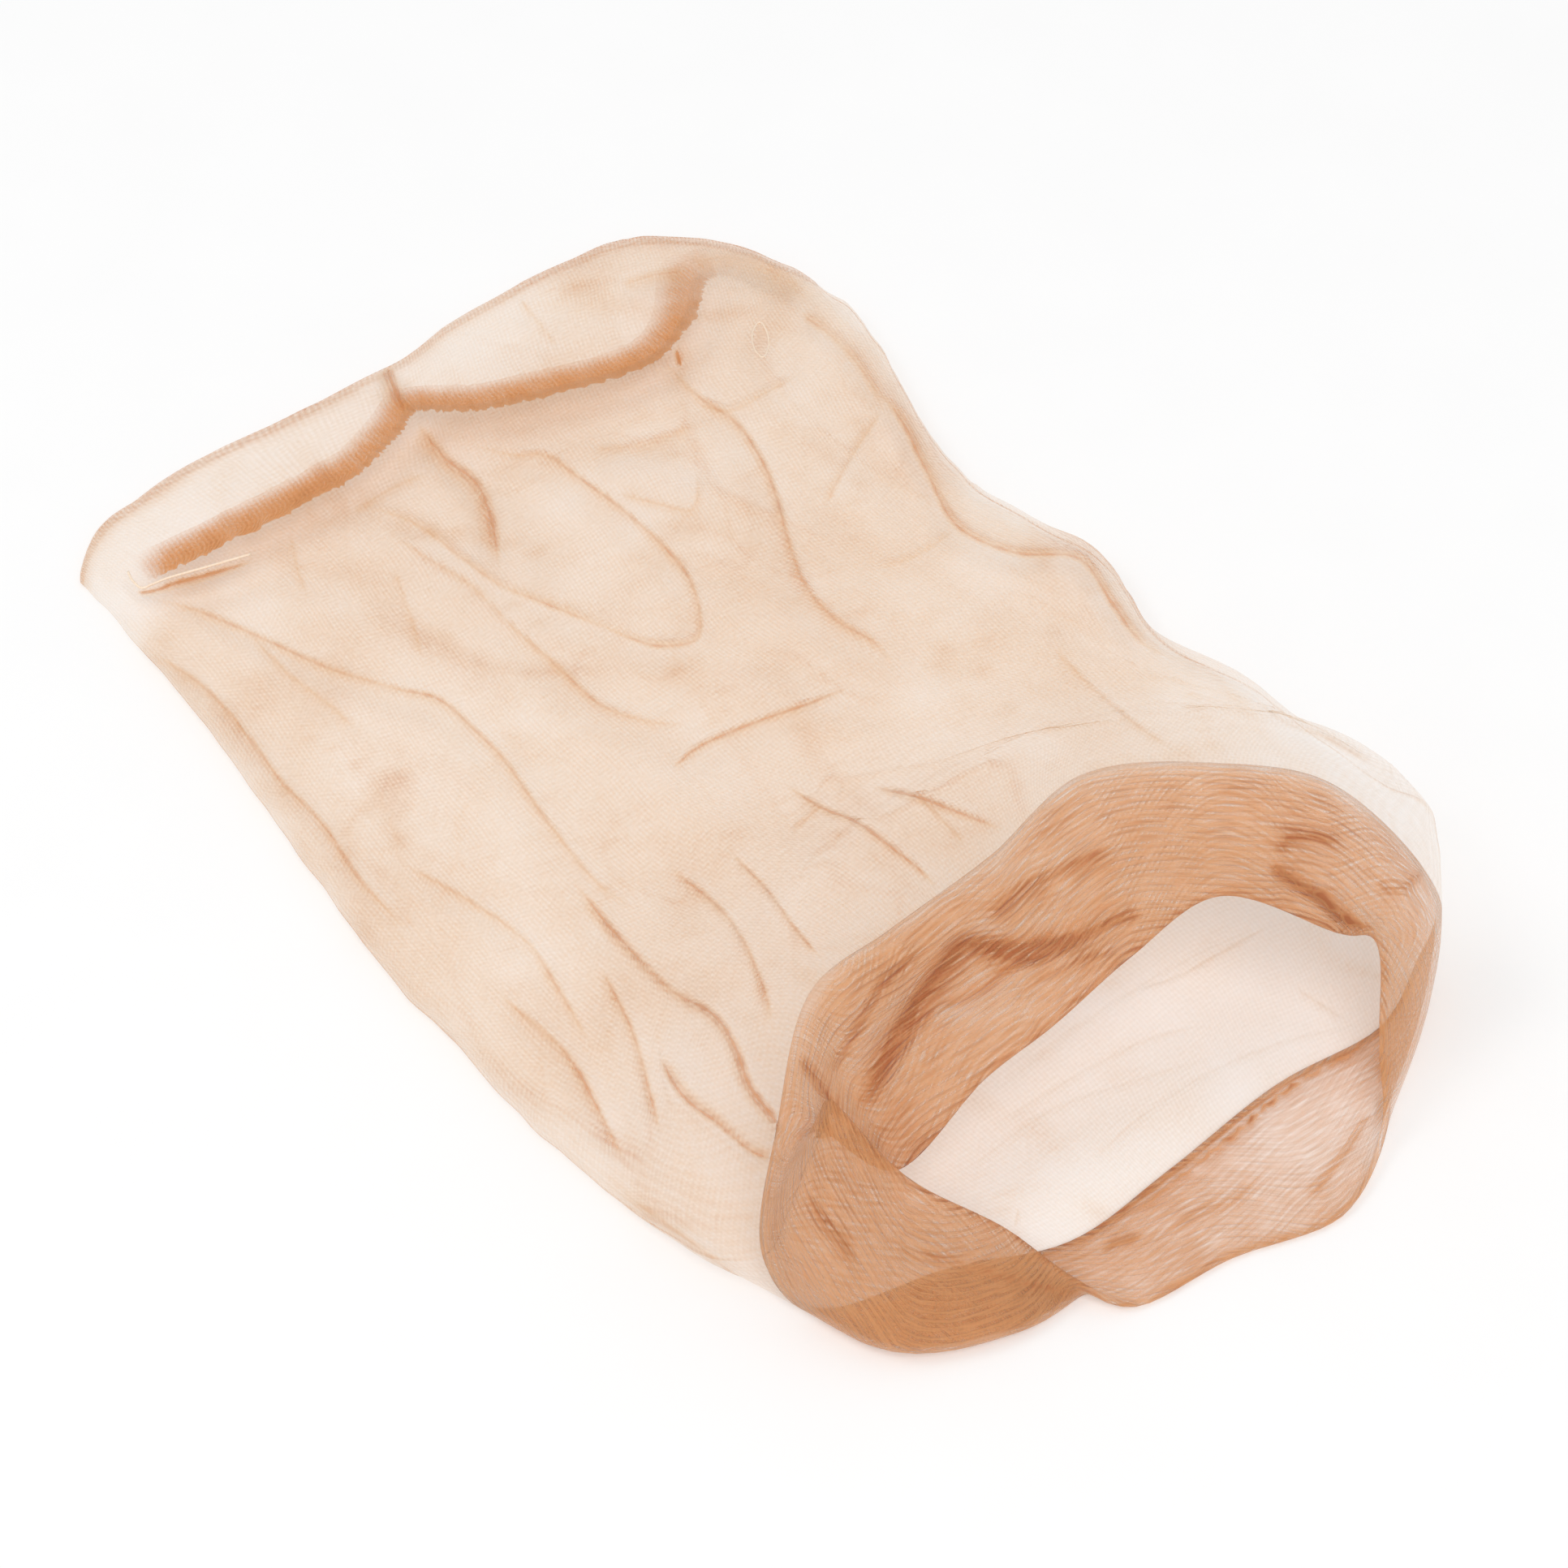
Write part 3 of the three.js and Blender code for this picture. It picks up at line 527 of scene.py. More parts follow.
def normals_of(grid):
    """Normals of a grid that closes on itself round the rings, away from the hollow."""
    along = np.gradient(grid, axis=0)
    round_ = np.roll(grid, -1, axis=1) - np.roll(grid, 1, axis=1)
    return unit(np.cross(round_, along))


def to_pixels(points):
    """Where the photograph shows points."""
    away = points - EYE
    depth = -(away @ BACK)
    return np.stack([
        PHOTO / 2 + FOCAL * (away @ RIGHT) / depth, PHOTO / 2 - FOCAL * (away @ UP) / depth,
    ], -1)


def pixel_ray(pixel):
    """The way from the camera through a pixel of the photograph."""
    x, y = pixel
    ray = (x - PHOTO / 2) / FOCAL * RIGHT - (y - PHOTO / 2) / FOCAL * UP - BACK
    return Vector(unit(ray))


def crease_effect(pixels, path, width, fade):
    """How strongly each pixel place lies on a crease, and on its flank, which carries painted shade
    on its shaded side and painted light on the other.
    """
    places = np.linspace(0, len(path) - 1, CREASE_POINTS * len(path))
    line = through(path, places)
    low = line.min(0) - abs(fade) - CREASE_NEAR * width
    high = line.max(0) + abs(fade) + CREASE_NEAR * width
    near = np.all((pixels > low) & (pixels < high), axis=-1)
    spots = pixels[near]
    best = np.full(len(spots), np.inf)
    share, side = np.zeros((2, len(spots)))
    for k, (a, b) in enumerate(zip(line[:-1], line[1:])):
        run = b - a
        here = spots - a
        along = np.clip(here @ run / (run @ run), 0, 1)
        off = here - along[:, None] * run
        apart = np.linalg.norm(off, axis=-1)
        closer = apart < best
        best[closer] = apart[closer]
        share[closer] = (k + along[closer]) / (len(line) - 1)
        side[closer] = np.sign(run[0] * off[closer, 1] - run[1] * off[closer, 0])
    taper = between(share, *CREASE_SPAN)
    reach = best * side * np.sign(fade) / abs(fade)
    strip = np.clip(1 - abs(reach), 0, 1) ** FLANK_CURVE * smooth(best / width + FLANK_ON_LINE)
    # the other side is lightened, as painted light, and lowered
    strip *= np.where(reach >= 0, 1, -OTHER_FLANK_SHARE)
    on_line, beside = np.zeros((2, *pixels.shape[:-1]))
    on_line[near] = bell(best, width) * taper
    beside[near] = strip * taper
    return on_line, beside


def press_creases(grid, mask_of, creases, layers):
    """Adds each crease's knit and painted shade to layers, and its ridge to the grid."""
    pixels = to_pixels(grid + TABLE_ORIGIN)
    normal = normals_of(grid)
    rise = np.zeros(grid.shape[:-1])
    for crease in creases:
        path, width, added, fade, height = crease[:5]
        on_line, beside = crease_effect(pixels, path, width, fade)
        mask = mask_of(crease)
        # knit doubled in the crease, with painted shade on the line and on its shaded side
        layers += added * (ON_LINE_LAYERS * on_line + FLANK_SHADE_LAYERS * beside) * mask
        rise += height * (on_line + BESIDE_RISE * beside) * mask
    grid += normal * rise[..., None]
    grid[..., 2] = np.maximum(grid[..., 2], 0)


def clouds(points, scale, octaves):
    """Smooth uneven patches, about -1 to 1, over a grid of points. scale is patches per metre."""
    flat = (points.reshape(-1, 3) * scale).tolist()
    values = [noise.fractal(Vector(place), 1.0, 2.0, octaves) for place in flat]
    return np.array(values).reshape(points.shape[:-1])


def travelled(grid, axis):
    """Distance along a grid's rows or columns from the first."""
    steps = np.linalg.norm(np.diff(grid, axis=axis), axis=-1)
    start = np.zeros_like(np.take(steps, [0], axis=axis))
    return np.concatenate([start, np.cumsum(steps, axis=axis)], axis=axis)


def put(name, data):
    """Adds an object to the scene."""
    thing = bpy.data.objects.new(name, data)
    bpy.context.scene.collection.objects.link(thing)
    return thing


def mesh_object(name, points, faces, layers, knit, material):
    """A smooth mesh with its knit layers and, as UVs in millimetres, its places in the knit."""
    mesh = bpy.data.meshes.new(name)
    mesh.from_pydata(np.reshape(points, (-1, 3)).tolist(), [], faces)
    mesh.update()
    attribute = mesh.attributes.new("layers", "FLOAT", "POINT")
    attribute.data.foreach_set("value", np.ravel(layers).astype(np.float32))
    corners = np.empty(len(mesh.loops), dtype=np.int32)
    mesh.loops.foreach_get("vertex_index", corners)
    uv = mesh.uv_layers.new(name="knit")
    knit = np.reshape(knit, (-1, 2))[corners]
    uv.data.foreach_set("uv", knit.astype(np.float32).ravel())
    mesh.polygons.foreach_set("use_smooth", [True] * len(mesh.polygons))
    mesh.materials.append(material)
    piece = put(name, mesh)
    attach(piece, "root")
    return piece


def ring_faces(rings, around, first=0):
    """Quads of rings of points, each ring closed on itself. first is the first point."""
    faces = []
    for j in range(rings - 1):
        start = first + j * around
        for k in range(around):
            near, far = start + k, start + (k + 1) % around
            faces.append((near, far, far + around, near + around))
    return faces


def strip_faces(rows, lanes, first=0):
    """Quads between rows of points that go across a strip, lanes of them to a row."""
    faces = []
    for j in range(rows - 1):
        for k in range(lanes - 1):
            near = first + j * lanes + k
            faces.append((near, near + 1, near + lanes + 1, near + lanes))
    return faces


class Nodes:
    """Short calls for a material's nodes. Their inputs are numbers or other nodes' outputs."""

    def __init__(self, name):
        self.material = bpy.data.materials.new(name)
        self.material.use_nodes = True
        self.tree = self.material.node_tree
        self.tree.nodes.clear()

    def add(self, kind, inputs=None, **settings):
        node = self.tree.nodes.new(kind)
        for key, value in settings.items():
            setattr(node, key, value)
        for key, value in (inputs or {}).items():
            if isinstance(value, (int, float)):
                node.inputs[key].default_value = value
            else:
                self.tree.links.new(value, node.inputs[key])
        return node

    def math(self, operation, *values):
        return self.add("ShaderNodeMath", dict(enumerate(values)), operation=operation).outputs[0]

    def noise(self, scale, detail, vector):
        inputs = {"Scale": scale, "Detail": detail, "Vector": vector}
        return self.math("SUBTRACT", self.add("ShaderNodeTexNoise", inputs).outputs["Fac"], 0.5)

    def ramp(self, factor, low, high):
        node = self.add("ShaderNodeMix", {"Factor": factor}, data_type="RGBA", clamp_factor=True)
        colours = [socket for socket in node.inputs if socket.type == "RGBA"]
        colours[0].default_value = (*low, 1)
        colours[1].default_value = (*high, 1)
        return next(socket for socket in node.outputs if socket.type == "RGBA")

    def surface(self, shader):
        self.add("ShaderNodeOutputMaterial", {"Surface": shader.outputs[0]})
        return self.material


LEAST_FULLNESS = 0.15  # of a layer where its weave is thinnest
DEEPENING = 0.45  # how much of the deep colour each further layer brings
YARN_RELIEF = 0.0004
GLOW_SHARE = 0.4  # of the light that the fibres let through


def knit_material(name, colour, deep, opacity, wale, course, contrast, yarn, streak, bump):
    """Sheer knit. opacity is one layer's, wale and course are the spacing of its lines in
    millimetres, and contrast is how much the wales, the courses and the yarn's unevenness show.
    That unevenness comes yarn times in a millimetre across a course, and streak times longer
    along it."""
    n = Nodes(name)
    place = n.add("ShaderNodeUVMap", uv_map="knit").outputs[0]
    x, y, _ = n.add("ShaderNodeSeparateXYZ", {0: place}).outputs
    stretched = n.add("ShaderNodeCombineXYZ", {"X": n.math("DIVIDE", x, streak), "Y": y})
    layers = n.add("ShaderNodeAttribute", attribute_name="layers").outputs["Fac"]
    wales = n.math("SINE", n.math("MULTIPLY", x, 2 * math.pi / wale))
    courses = n.math("SINE", n.math("MULTIPLY", y, 2 * math.pi / course))
    fuzz = n.noise(scale=yarn, detail=0.0, vector=stretched.outputs[0])
    weave = n.math("MULTIPLY_ADD", wales, contrast[0], n.math("MULTIPLY", courses, contrast[1]))
    weave = n.math("MULTIPLY_ADD", fuzz, contrast[2], weave)
    fullness = n.math("MAXIMUM", n.math("ADD", weave, 1.0), LEAST_FULLNESS)
    thickness = n.math("MULTIPLY", layers, fullness)
    clear = n.math("POWER", 1 - opacity, thickness)
    shade = n.math("MULTIPLY", n.math("SUBTRACT", thickness, 1.0), DEEPENING)
    tint = n.ramp(shade, colour, deep)
    relief = n.add("ShaderNodeBump", {"Strength": bump, "Distance": YARN_RELIEF, "Height": weave})
    knit = n.add("ShaderNodeBsdfPrincipled", {
        "Base Color": tint, "Roughness": 0.55, "Specular IOR Level": 0.25, "Sheen Weight": 0.25,
        "Sheen Roughness": 0.4, "Normal": relief.outputs[0]})
    glow = n.add("ShaderNodeBsdfTranslucent", {"Color": tint})
    fibre = n.add("ShaderNodeMixShader", {0: GLOW_SHARE, 1: knit.outputs[0], 2: glow.outputs[0]})
    gaps = n.add("ShaderNodeBsdfTransparent")
    sheer = n.add("ShaderNodeMixShader", {0: clear, 1: fibre.outputs[0], 2: gaps.outputs[0]})
    return n.surface(sheer)


SHEER = knit_material(
    "sheer_knit", colour=(0.84, 0.53, 0.245), deep=(0.68, 0.31, 0.115), opacity=0.172,
    wale=0.9, course=1.1, contrast=(0.22, 0.14, 0.8), yarn=1.4, streak=1.5, bump=0.2)
WELT = knit_material(
    "welt_knit", colour=(0.82, 0.44, 0.2), deep=(0.54, 0.2, 0.08), opacity=0.53,
    wale=0.95, course=1.5, contrast=(0.06, 0.34, 2.1), yarn=2.0, streak=12.0, bump=0.8)
SEAM_KNIT = knit_material(
    "seam_knit", colour=(0.72, 0.33, 0.13), deep=(0.46, 0.17, 0.06), opacity=0.9,
    wale=1.1, course=1.0, contrast=(0.25, 0.12, 0.8), yarn=1.4, streak=1.0, bump=0.5)


def crumple(bag, layers, raised):
    """Adds the small creases of the whole bag, with ridges where raised is above 0."""
    apart = bag * CRUMPLE_STRETCH
    for scale, added, height in CRUMPLES:
        line = bell(clouds(apart, scale, 2), CRUMPLE_THIN)
        gate = smooth(CRUMPLE_GATE * clouds(apart + PATCH_SHIFT, scale, 1) + CRUMPLE_SHARE)
        layers += added * line * gate
        bag[..., 2] += height * line * gate * raised


def crown_edge(bag):
    """Rings that round the crown fold: both layers curve in to a line between them."""
    end = bag[-1]
    middle = end.copy()
    half = CROWN_PRESSED * CROWN_END_HEIGHT / 2
    middle[:, 2] = half
    outward = unit((end - bag[-2]) * (1, 1, 0)) * half
    angles = math.pi / 2 * np.arange(1, EDGE_STEPS + 1) / EDGE_STEPS
    return np.array([mix(middle, end, math.cos(a)) + outward * math.sin(a) for a in angles])


def knit_piece(name, rings, layers, middle, drift, faces, material):
    """A piece that lies in rings. Across them its knit runs as far as it does in a middle ring."""
    across = np.broadcast_to(travelled(middle, 0), rings.shape[:2])
    far, often = drift
    knit = np.stack([across, travelled(rings, 0)], -1) * MILLIMETRES
    knit += far * clouds(rings, often, 2)[..., None]
    points = rings + TABLE_ORIGIN + (0, 0, KNIT_LIFT)
    return mesh_object(name, points, faces, layers, knit, material)


def build_bag(stations, bag):
    _, inward, top = turn(stations)
    rings, around = bag.shape[:2]
    layers = np.ones((rings, around))
    on_top = np.broadcast_to(top * smooth(CREASE_FREE_EDGE * inward), layers.shape)
    on_table = np.broadcast_to(1.0 - top, layers.shape)
    press_creases(bag, lambda crease: on_top, BAG_CREASES, layers)
    press_creases(bag, lambda crease: on_table, TABLE_CREASES, layers)

    from_joint = travelled(bag, 0)
    from_crown = from_joint[-1] - from_joint
    loose = smooth(from_joint / LOOSE)
    crumple(bag, layers, on_top * loose)
    layers *= 1 + sum(
        strength * clouds(bag * UPRIGHT + shift, scale, 3) for scale, strength, shift in UNEVEN)
    bag[..., 2] *= mix(CROWN_PRESSED, 1, smooth(from_crown / PRESSED_STRIP))

    wander = smooth(1 - inward / WANDER_SIDE) + smooth(1 - from_crown / WANDER_CROWN)
    for axis in (0, 1):
        patches = clouds(bag * (1, 1, 0) + WANDER_SHIFT * axis, WANDER_OFTEN, 3)
        bag[..., axis] += WANDER * patches * wander * loose

    layers += SIDE_GATHER * bell(HALF_WIDTH * inward, SIDE_GATHER_WIDTH) * loose
    layers += CROWN_GATHER * bell(from_crown, CROWN_GATHER_WIDTH)

    first, last = STRIP_CHANGE
    to_left = smooth((bag[..., 0] / HALF_WIDTH - first) / (last - first))
    thin = mix(STRIP_THIN_RIGHT, STRIP_THIN_LEFT, to_left)
    layers *= 1 - thin * between(from_crown, *STRIP_SPAN)
    tight = between(stations, *TIGHT_STATIONS) * smooth((TIGHT_REACH - from_joint) / TIGHT_FADE)
    layers *= 1 - TIGHT * tight
    # painted light on the table layer inside the mouth, where light falls in
    layers *= 1 - MOUTH_LIGHT * on_table * smooth((MOUTH_LIGHT_REACH - from_joint) / MOUTH_LIGHT_FADE)

    whole = np.concatenate([bag, crown_edge(bag)])
    layers = np.concatenate([layers, np.repeat(layers[-1:], EDGE_STEPS, 0)])
    faces = ring_faces(len(whole), around)
    piece = knit_piece("bag", whole, layers, bag[rings // 2], BAG_DRIFT, faces, SHEER)
    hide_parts("crown_bag")
    return piece


def welt_layers(stations, welt):
    """Presses the welt's creases, and gives how thick its knit is, with painted shade in its
    creases and at its joint on the table.
    """
    layers = np.ones(welt.shape[:2])

    def within(crease):
        first, last = crease[-1]
        inside = smooth((stations - first) / STATION_FADE + 0.5)
        inside *= smooth((last - stations) / STATION_FADE + 0.5)
        if last >= STATIONS:
            inside = np.maximum(inside, smooth(1 - stations / STATION_PAST))
        return np.broadcast_to(inside, layers.shape)

    press_creases(welt, within, WELT_CREASES, layers)
    pixels = to_pixels(welt + TABLE_ORIGIN)
    for spot in WELT_THIN_SPOTS:
        centre, axes, added = spot[:3]
        apart = np.linalg.norm((pixels - centre) / axes, axis=-1)
        layers += added * smooth(SPOT_EDGE - apart) * within(spot)
    layers *= np.interp(stations, *np.array(WELT_LAYERS).T)
    layers *= 1 + WELT_UNEVEN * clouds(welt, WELT_UNEVEN_OFTEN, 3)

    from_rim = travelled(welt, 0)
    from_joint = from_rim[-1] - from_rim
    layers += RIM_GATHER * bell(from_rim, RIM_GATHER_WIDTH)
    waves = np.abs(np.sin(math.pi * travelled(welt[-1], 0) / SCALLOP))
    scallop = 1 - SCALLOP_SHARE + SCALLOP_SHARE * waves
    # the joint's stitches on the table, darkened partly as painted shadow in the gap there
    edge = bell(from_joint - JOINT_STITCH_SHADE_PLACE, JOINT_STITCH_SHADE_WIDTH)
    layers += JOINT_STITCH_SHADE * edge * scallop * between(stations, *LOWER_STATIONS)
    thin = mix(JOINT_THIN, 1, smooth(from_joint / JOINT_THIN_WIDTH))
    return layers * mix(1, thin, between(stations, *UPPER_STATIONS))


def build_welt(stations, welt):
    rings, around = welt.shape[:2]
    layers = welt_layers(stations, welt)
    inner = welt - normals_of(welt) * WELT_THICK
    inner[..., 2] = np.maximum(inner[..., 2], LEAST_HEIGHT)
    centre = (welt[0] + inner[0]) / 2
    across = (welt[0] - inner[0]) / 2
    outward = unit(welt[0] - welt[1]) * WELT_THICK / 2
    angles = math.pi * np.arange(1, EDGE_STEPS) / EDGE_STEPS
    rounding = [centre + across * math.cos(a) + outward * math.sin(a) for a in angles]
    whole = np.concatenate([welt[::-1], rounding, inner])
    layers = np.concatenate([layers[::-1], np.repeat(layers[:1], EDGE_STEPS - 1, 0), layers])
    faces = ring_faces(len(whole), around)
    last = (len(whole) - 1) * around
    faces += [(last + k, last + (k + 1) % around, (k + 1) % around, k) for k in range(around)]
    piece = knit_piece("welt", whole, layers, welt[rings // 2], WELT_DRIFT, faces, WELT)
    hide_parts("welt_band")
    return piece


def surface_finder(piece):
    mesh = piece.data
    return BVHTree.FromPolygons(
        [vertex.co for vertex in mesh.vertices], [polygon.vertices for polygon in mesh.polygons])


# How strongly the seam allowance is gathered: share of the way along it, and layers.
SEAM_GATHER = [
    (0, 0.8), (0.05, 1.2), (0.14, 1.25), (0.2, 0.85), (0.3, 0.8), (0.36, 1.0), (0.45, 0.95),
    (0.55, 1.05), (0.64, 1.1), (0.7, 0.8), (0.76, 0.5), (0.82, 0.26), (0.88, 0.06), (1, 0),
]
SEAM_STEPS, SEAM_LANES = 460, 18
SEAM_WIDTH = 0.0082
SEAM_WIDENS, SEAM_WIDENS_OVER, SEAM_WIDER = 0.66, 0.2, 1.5  # to its right end
SEAM_SPAN = (0, 0.03, 1, 0.1)  # shares of its way
SEAM_DROP, SEAM_WAVES = 0.0005, 0.0007  # under the top layer, and up and down
SEAM_LOWEST = 0.0008
RAW_EDGE, RAW_SHARE = 0.001, 0.3  # how ragged it is, over what share of its width
RAW_WAVES = [(0.35, 2.7, 1), (0.9, 8.1, 0.7)]  # how often to a step, a place of their own, size
PUCKERS = (0.16, 1.5, 4.0)  # how often to a step and across the seam, and their own place
# Across it: how full the raw edge is, over what share of the width it fills out, and over what
# share it runs out at the stitches. Then its least and most layers, and those of the puckers.
RAW_FULLNESS, RAW_FILLS, STITCHES_FADE = 0.35, 0.08, 0.75
SEAM_LEAST, SEAM_MOST = 0.1, 1.2
PUCKER_LAYERS, PUCKER_ADDED = 0.85, 0.5


def across_line(line):
    """Unit steps across a line in a plane, to its left."""
    run = unit(np.gradient(line, axis=0))
    return np.stack([-run[:, 1], run[:, 0]], -1)


def build_seam(bag_tree):
    """The allowance hangs just under the top layer, gathered, with a raw edge towards the mouth."""
    line = through(SEAM, np.linspace(0, len(SEAM) - 1, SEAM_STEPS + 1))
    line = line * (HALF_WIDTH, LENGTH) + TABLE_ORIGIN[:2]
    to_crown = across_line(line)
    points, layers = [], []
    for j in range(SEAM_STEPS + 1):
        share = j / SEAM_STEPS
        raw = sum(
            size * noise.noise(Vector((j * often, place, 0))) for often, place, size in RAW_WAVES)
        strength = np.interp(share, *np.array(SEAM_GATHER).T) * between(share, *SEAM_SPAN)
        widening = smooth((share - SEAM_WIDENS) / SEAM_WIDENS_OVER)
        spread = SEAM_WIDTH * mix(1, SEAM_WIDER, widening)
        for k in range(SEAM_LANES + 1):
            lane = k / SEAM_LANES
            off = mix(-0.5, 0.5, lane) * spread
            if lane < RAW_SHARE:
                off += raw * RAW_EDGE * (1 - lane / RAW_SHARE)
            spot = line[j] + to_crown[j] * off
            hit = bag_tree.ray_cast(Vector((*spot, 1.0)), Vector((0, 0, -1)))[0]
            gather = noise.noise(Vector((j * PUCKERS[0], lane * PUCKERS[1], PUCKERS[2])))
            height = hit.z - SEAM_DROP - SEAM_WAVES * (1 + gather) / 2
            points.append((*spot, max(height, SEAM_LOWEST)))
            soft = smooth((1 - lane) / STITCHES_FADE) * smooth(lane / RAW_FILLS + RAW_FULLNESS)
            pucker = PUCKER_LAYERS + PUCKER_ADDED * gather
            layers.append(mix(SEAM_LEAST, SEAM_MOST, soft) * pucker * strength)
    rows, lanes = SEAM_STEPS + 1, SEAM_LANES + 1
    grid = np.reshape(points, (rows, lanes, 3))
    knit = np.stack([travelled(grid, 0), travelled(grid, 1)], -1) * MILLIMETRES
    faces = strip_faces(rows, lanes)
    piece = mesh_object("seam_allowance", grid, faces, layers, knit, SEAM_KNIT)
    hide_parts("toe_seam")
    return piece


def fold_rows(finder, crease, strength):
    """Points, layers and places in the knit along one crease's sharp edge."""
    path, width, added, fade, rise, *pull = crease
    path = np.array(path, float)
    steps = int(np.linalg.norm(np.diff(path, axis=0), axis=1).sum() / LINE_STEP)
    line = through(path, np.linspace(0, len(path) - 1, steps + 1))
    side = across_line(line) * np.sign(fade)
    depth = finder.ray_cast(Vector(EYE), pixel_ray(line[0]))[3]
    scale = PIXEL * MILLIMETRES
    points, layers, knit = [], [], []
    for j in range(steps + 1):
        share = j / steps
        taper = between(share, *FOLD_SPAN)
        place = Vector((j * WAVER_OFTEN, *path[0] / WAVER_PLACE))
        waver = 1 + FOLD_WAVER * noise.noise(place)
        spread = FOLD_LINE * width * mix(FOLD_TIP, 1, taper) * mix(1, waver, WAVER_WIDTH)
        stitch = sum(pull) * abs(math.sin(math.pi * j * LINE_STEP / STITCH))
        centre = finder.ray_cast(Vector(EYE), pixel_ray(line[j]))[3]
        depth = depth if centre is None else centre
        for off, strong in FOLD_LANES:
            lift = LINE_LIFT + FOLD_RISE * rise * strong * taper
            for reach in LINE_REACHES:
                aside = reach * (off * spread + stitch)
                ray = pixel_ray(line[j] + side[j] * aside)
                far = finder.ray_cast(Vector(EYE), ray)[3]
                if far is None or abs(far - depth) > SURFACE_STEP + PIXEL * abs(aside):
                    continue
                points.append(EYE + np.array(ray) * far + BACK * lift)
                break
            else:
                points.append(points[-1])
            layers.append(strength * added * strong * taper * waver)
            knit.append(scale * np.array((off * spread, j * LINE_STEP / FOLD_STRETCH)))
    return points, layers, knit


def fold_lines(name, finder, creases, strength, material):
    """The sharp edge of each crease: knit folded on itself along the crease's line, with painted
    shade trailing off to the crease's shaded side. It narrows where the surface ends or goes out of
    sight."""
    points, faces, layers, knit = [], [], [], []
    for crease in creases:
        rows = fold_rows(finder, crease, strength)
        faces += strip_faces(len(rows[0]) // len(FOLD_LANES), len(FOLD_LANES), len(points))
        for whole, part in zip((points, layers, knit), rows):
            whole += part
    piece = mesh_object(name, points, faces, layers, knit, material)
    return piece


# The loose end of thread at the seam's left end, and the small loop of it further along.
THREAD_TAIL = [(158, 706), (163, 716), (175, 726), (186, 722), (206, 714), (255, 700), (310, 684)]
THREAD_LOOP = [(936, 398), (927, 412), (930, 432), (940, 441), (947, 428), (944, 408)]
# Their paths, whether they close, and their radii:
THREADS = [(THREAD_TAIL, False, 0.00028), (THREAD_LOOP, True, 0.00018)]
THREAD_SIDES = 8
THREAD_STEP = 0.1  # of the way between two places of its path
THREAD_LIFT = 1.3  # radii above the knit


def thread_material():
    n = Nodes("thread")
    where = n.add("ShaderNodeTexCoord").outputs["Object"]
    twist = n.noise(scale=2600.0, detail=1.0, vector=where)
    tint = n.ramp(n.math("ADD", twist, 0.5), (0.78, 0.56, 0.38), (0.96, 0.84, 0.7))
    inputs = {"Base Color": tint, "Roughness": 0.5, "Sheen Weight": 0.3}
    return n.surface(n.add("ShaderNodeBsdfPrincipled", inputs))


def build_thread(bag_tree):
    points, faces = [], []
    sides = THREAD_SIDES
    angles = 2 * math.pi * np.arange(sides) / sides
    for path, closed, radius in THREADS:
        count = len(path) if closed else len(path) - 1
        places = np.arange(0, count + 1e-9, THREAD_STEP)
        pixels = through(path, places, closed=closed)
        lift = (0, 0, THREAD_LIFT * radius)
        seen = [bag_tree.ray_cast(Vector(EYE), pixel_ray(pixel))[0] for pixel in pixels]
        spine = np.array(seen) + lift
        run = unit(np.gradient(spine, axis=0))
        across = unit(np.cross(run, (0, 0, 1)))
        over = np.cross(across, run)
        first = len(points)
        for spot, side, up in zip(spine, across, over):
            points += [spot + radius * (side * math.cos(a) + up * math.sin(a)) for a in angles]
        faces += ring_faces(len(spine), sides, first)
        if not closed:
            faces.append(range(first, first + sides)[::-1])
            faces.append(range(len(points) - sides, len(points)))
    count = len(points)
    knit = np.zeros((count, 2))
    piece = mesh_object("seam_thread", points, faces, np.ones(count), knit, thread_material())
    return piece


FLOOR_REACH = 4.0


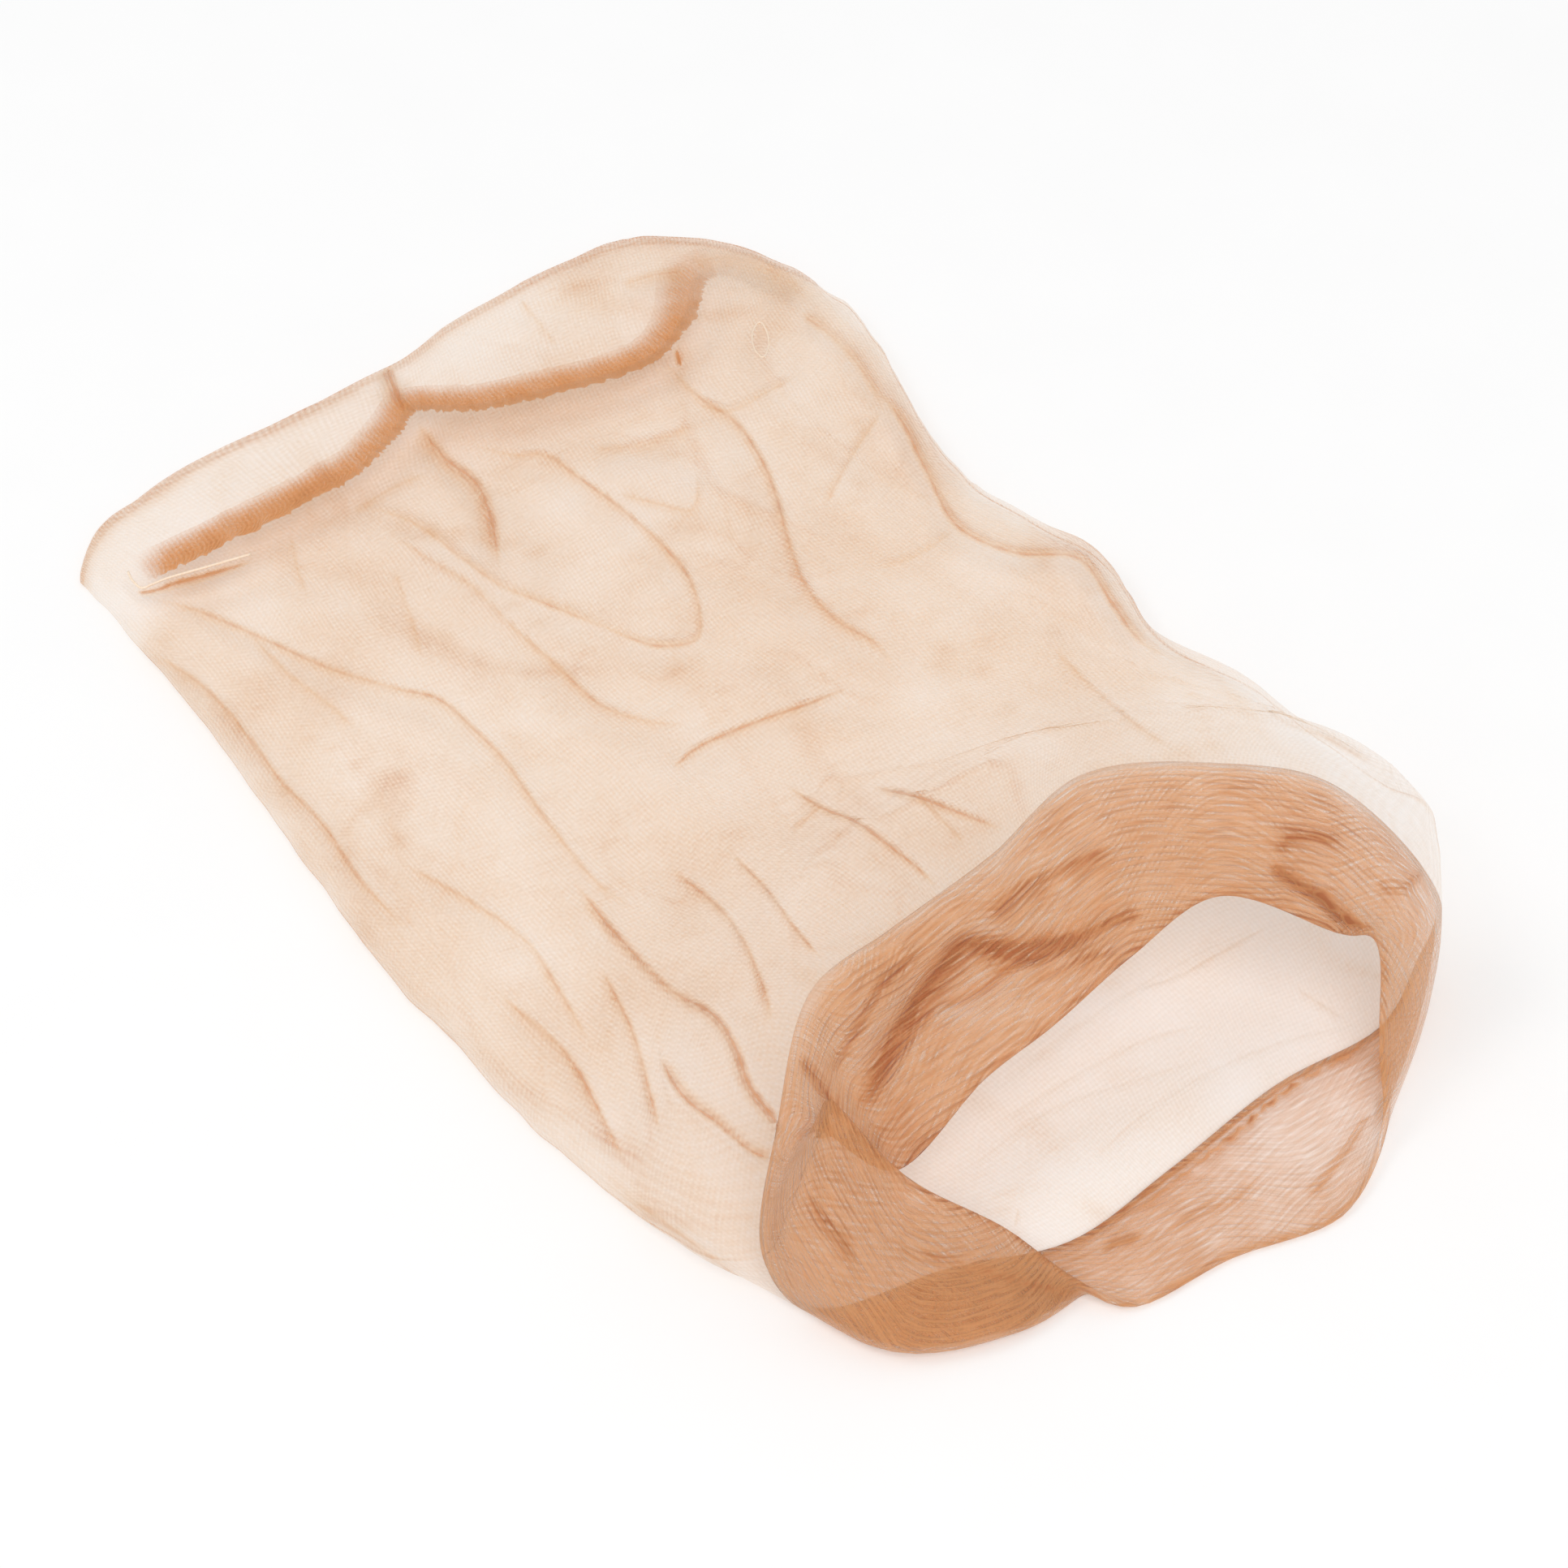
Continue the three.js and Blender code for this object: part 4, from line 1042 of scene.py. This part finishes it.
def build_floor():
    n = Nodes("floor")
    where = n.add("ShaderNodeTexCoord").outputs["Object"]
    grain = n.math("ADD", n.noise(scale=35.0, detail=4.0, vector=where), 0.5)
    tint = n.ramp(grain, (0.9, 0.9, 0.9), (0.92, 0.92, 0.92))
    inputs = {"Base Color": tint, "Roughness": 0.9, "Specular IOR Level": 0.1}
    paper = n.add("ShaderNodeBsdfPrincipled", inputs)
    mesh = bpy.data.meshes.new("floor")
    corners = [(-1, -1, 0), (1, -1, 0), (1, 1, 0), (-1, 1, 0)]
    mesh.from_pydata([FLOOR_REACH * Vector(corner) for corner in corners], [], [(0, 1, 2, 3)])
    mesh.materials.append(n.surface(paper))
    put("floor", mesh)


SKY = 0.64
LAMPS = [("key", (-1.2, -2.4, 4.2), 2.8, 112.0), ("side", (-2.4, 1.6, 3.4), 1.8, 26.0)]


def light_scene():
    """A white sky and two round lamps, each with its place, size and power."""
    world = bpy.data.worlds.new("studio")
    world.use_nodes = True
    sky = world.node_tree.nodes["Background"]
    sky.inputs["Color"].default_value = (1, 1, 1, 1)
    sky.inputs["Strength"].default_value = SKY
    bpy.context.scene.world = world
    for name, place, size, power in LAMPS:
        lamp = bpy.data.lights.new(name, "AREA")
        lamp.shape = "DISK"
        lamp.size = size
        lamp.energy = power
        holder = put(name, lamp)
        holder.location = place
        holder.rotation_euler = (-Vector(place)).to_track_quat("-Z", "Y").to_euler()


def place_camera():
    camera = bpy.data.cameras.new("photo_camera")
    camera.lens = LENS
    camera.sensor_width = SENSOR
    camera.clip_start = 0.05
    camera.clip_end = 20
    holder = put("photo_camera", camera)
    holder.location = EYE
    holder.rotation_euler = Vector(BACK).to_track_quat("Z", "Y").to_euler()
    bpy.context.scene.camera = holder


bpy.context.scene.view_settings.view_transform = "Standard"
place_camera()
light_scene()
build_floor()
round_stations, welt_grid, bag_grid = cap_surface()
bag_piece = build_bag(round_stations, bag_grid)
welt_piece = build_welt(round_stations, welt_grid)
tree = surface_finder(bag_piece)
seam_piece = build_seam(tree)
folds_piece = fold_lines(
    "bag_folds", tree, BAG_CREASES + TABLE_CREASES, BAG_FOLD_LAYERS, SHEER)
lines_piece = fold_lines(
    "welt_lines", surface_finder(welt_piece), WELT_LINES, WELT_LINE_LAYERS, WELT)
thread_piece = build_thread(tree)
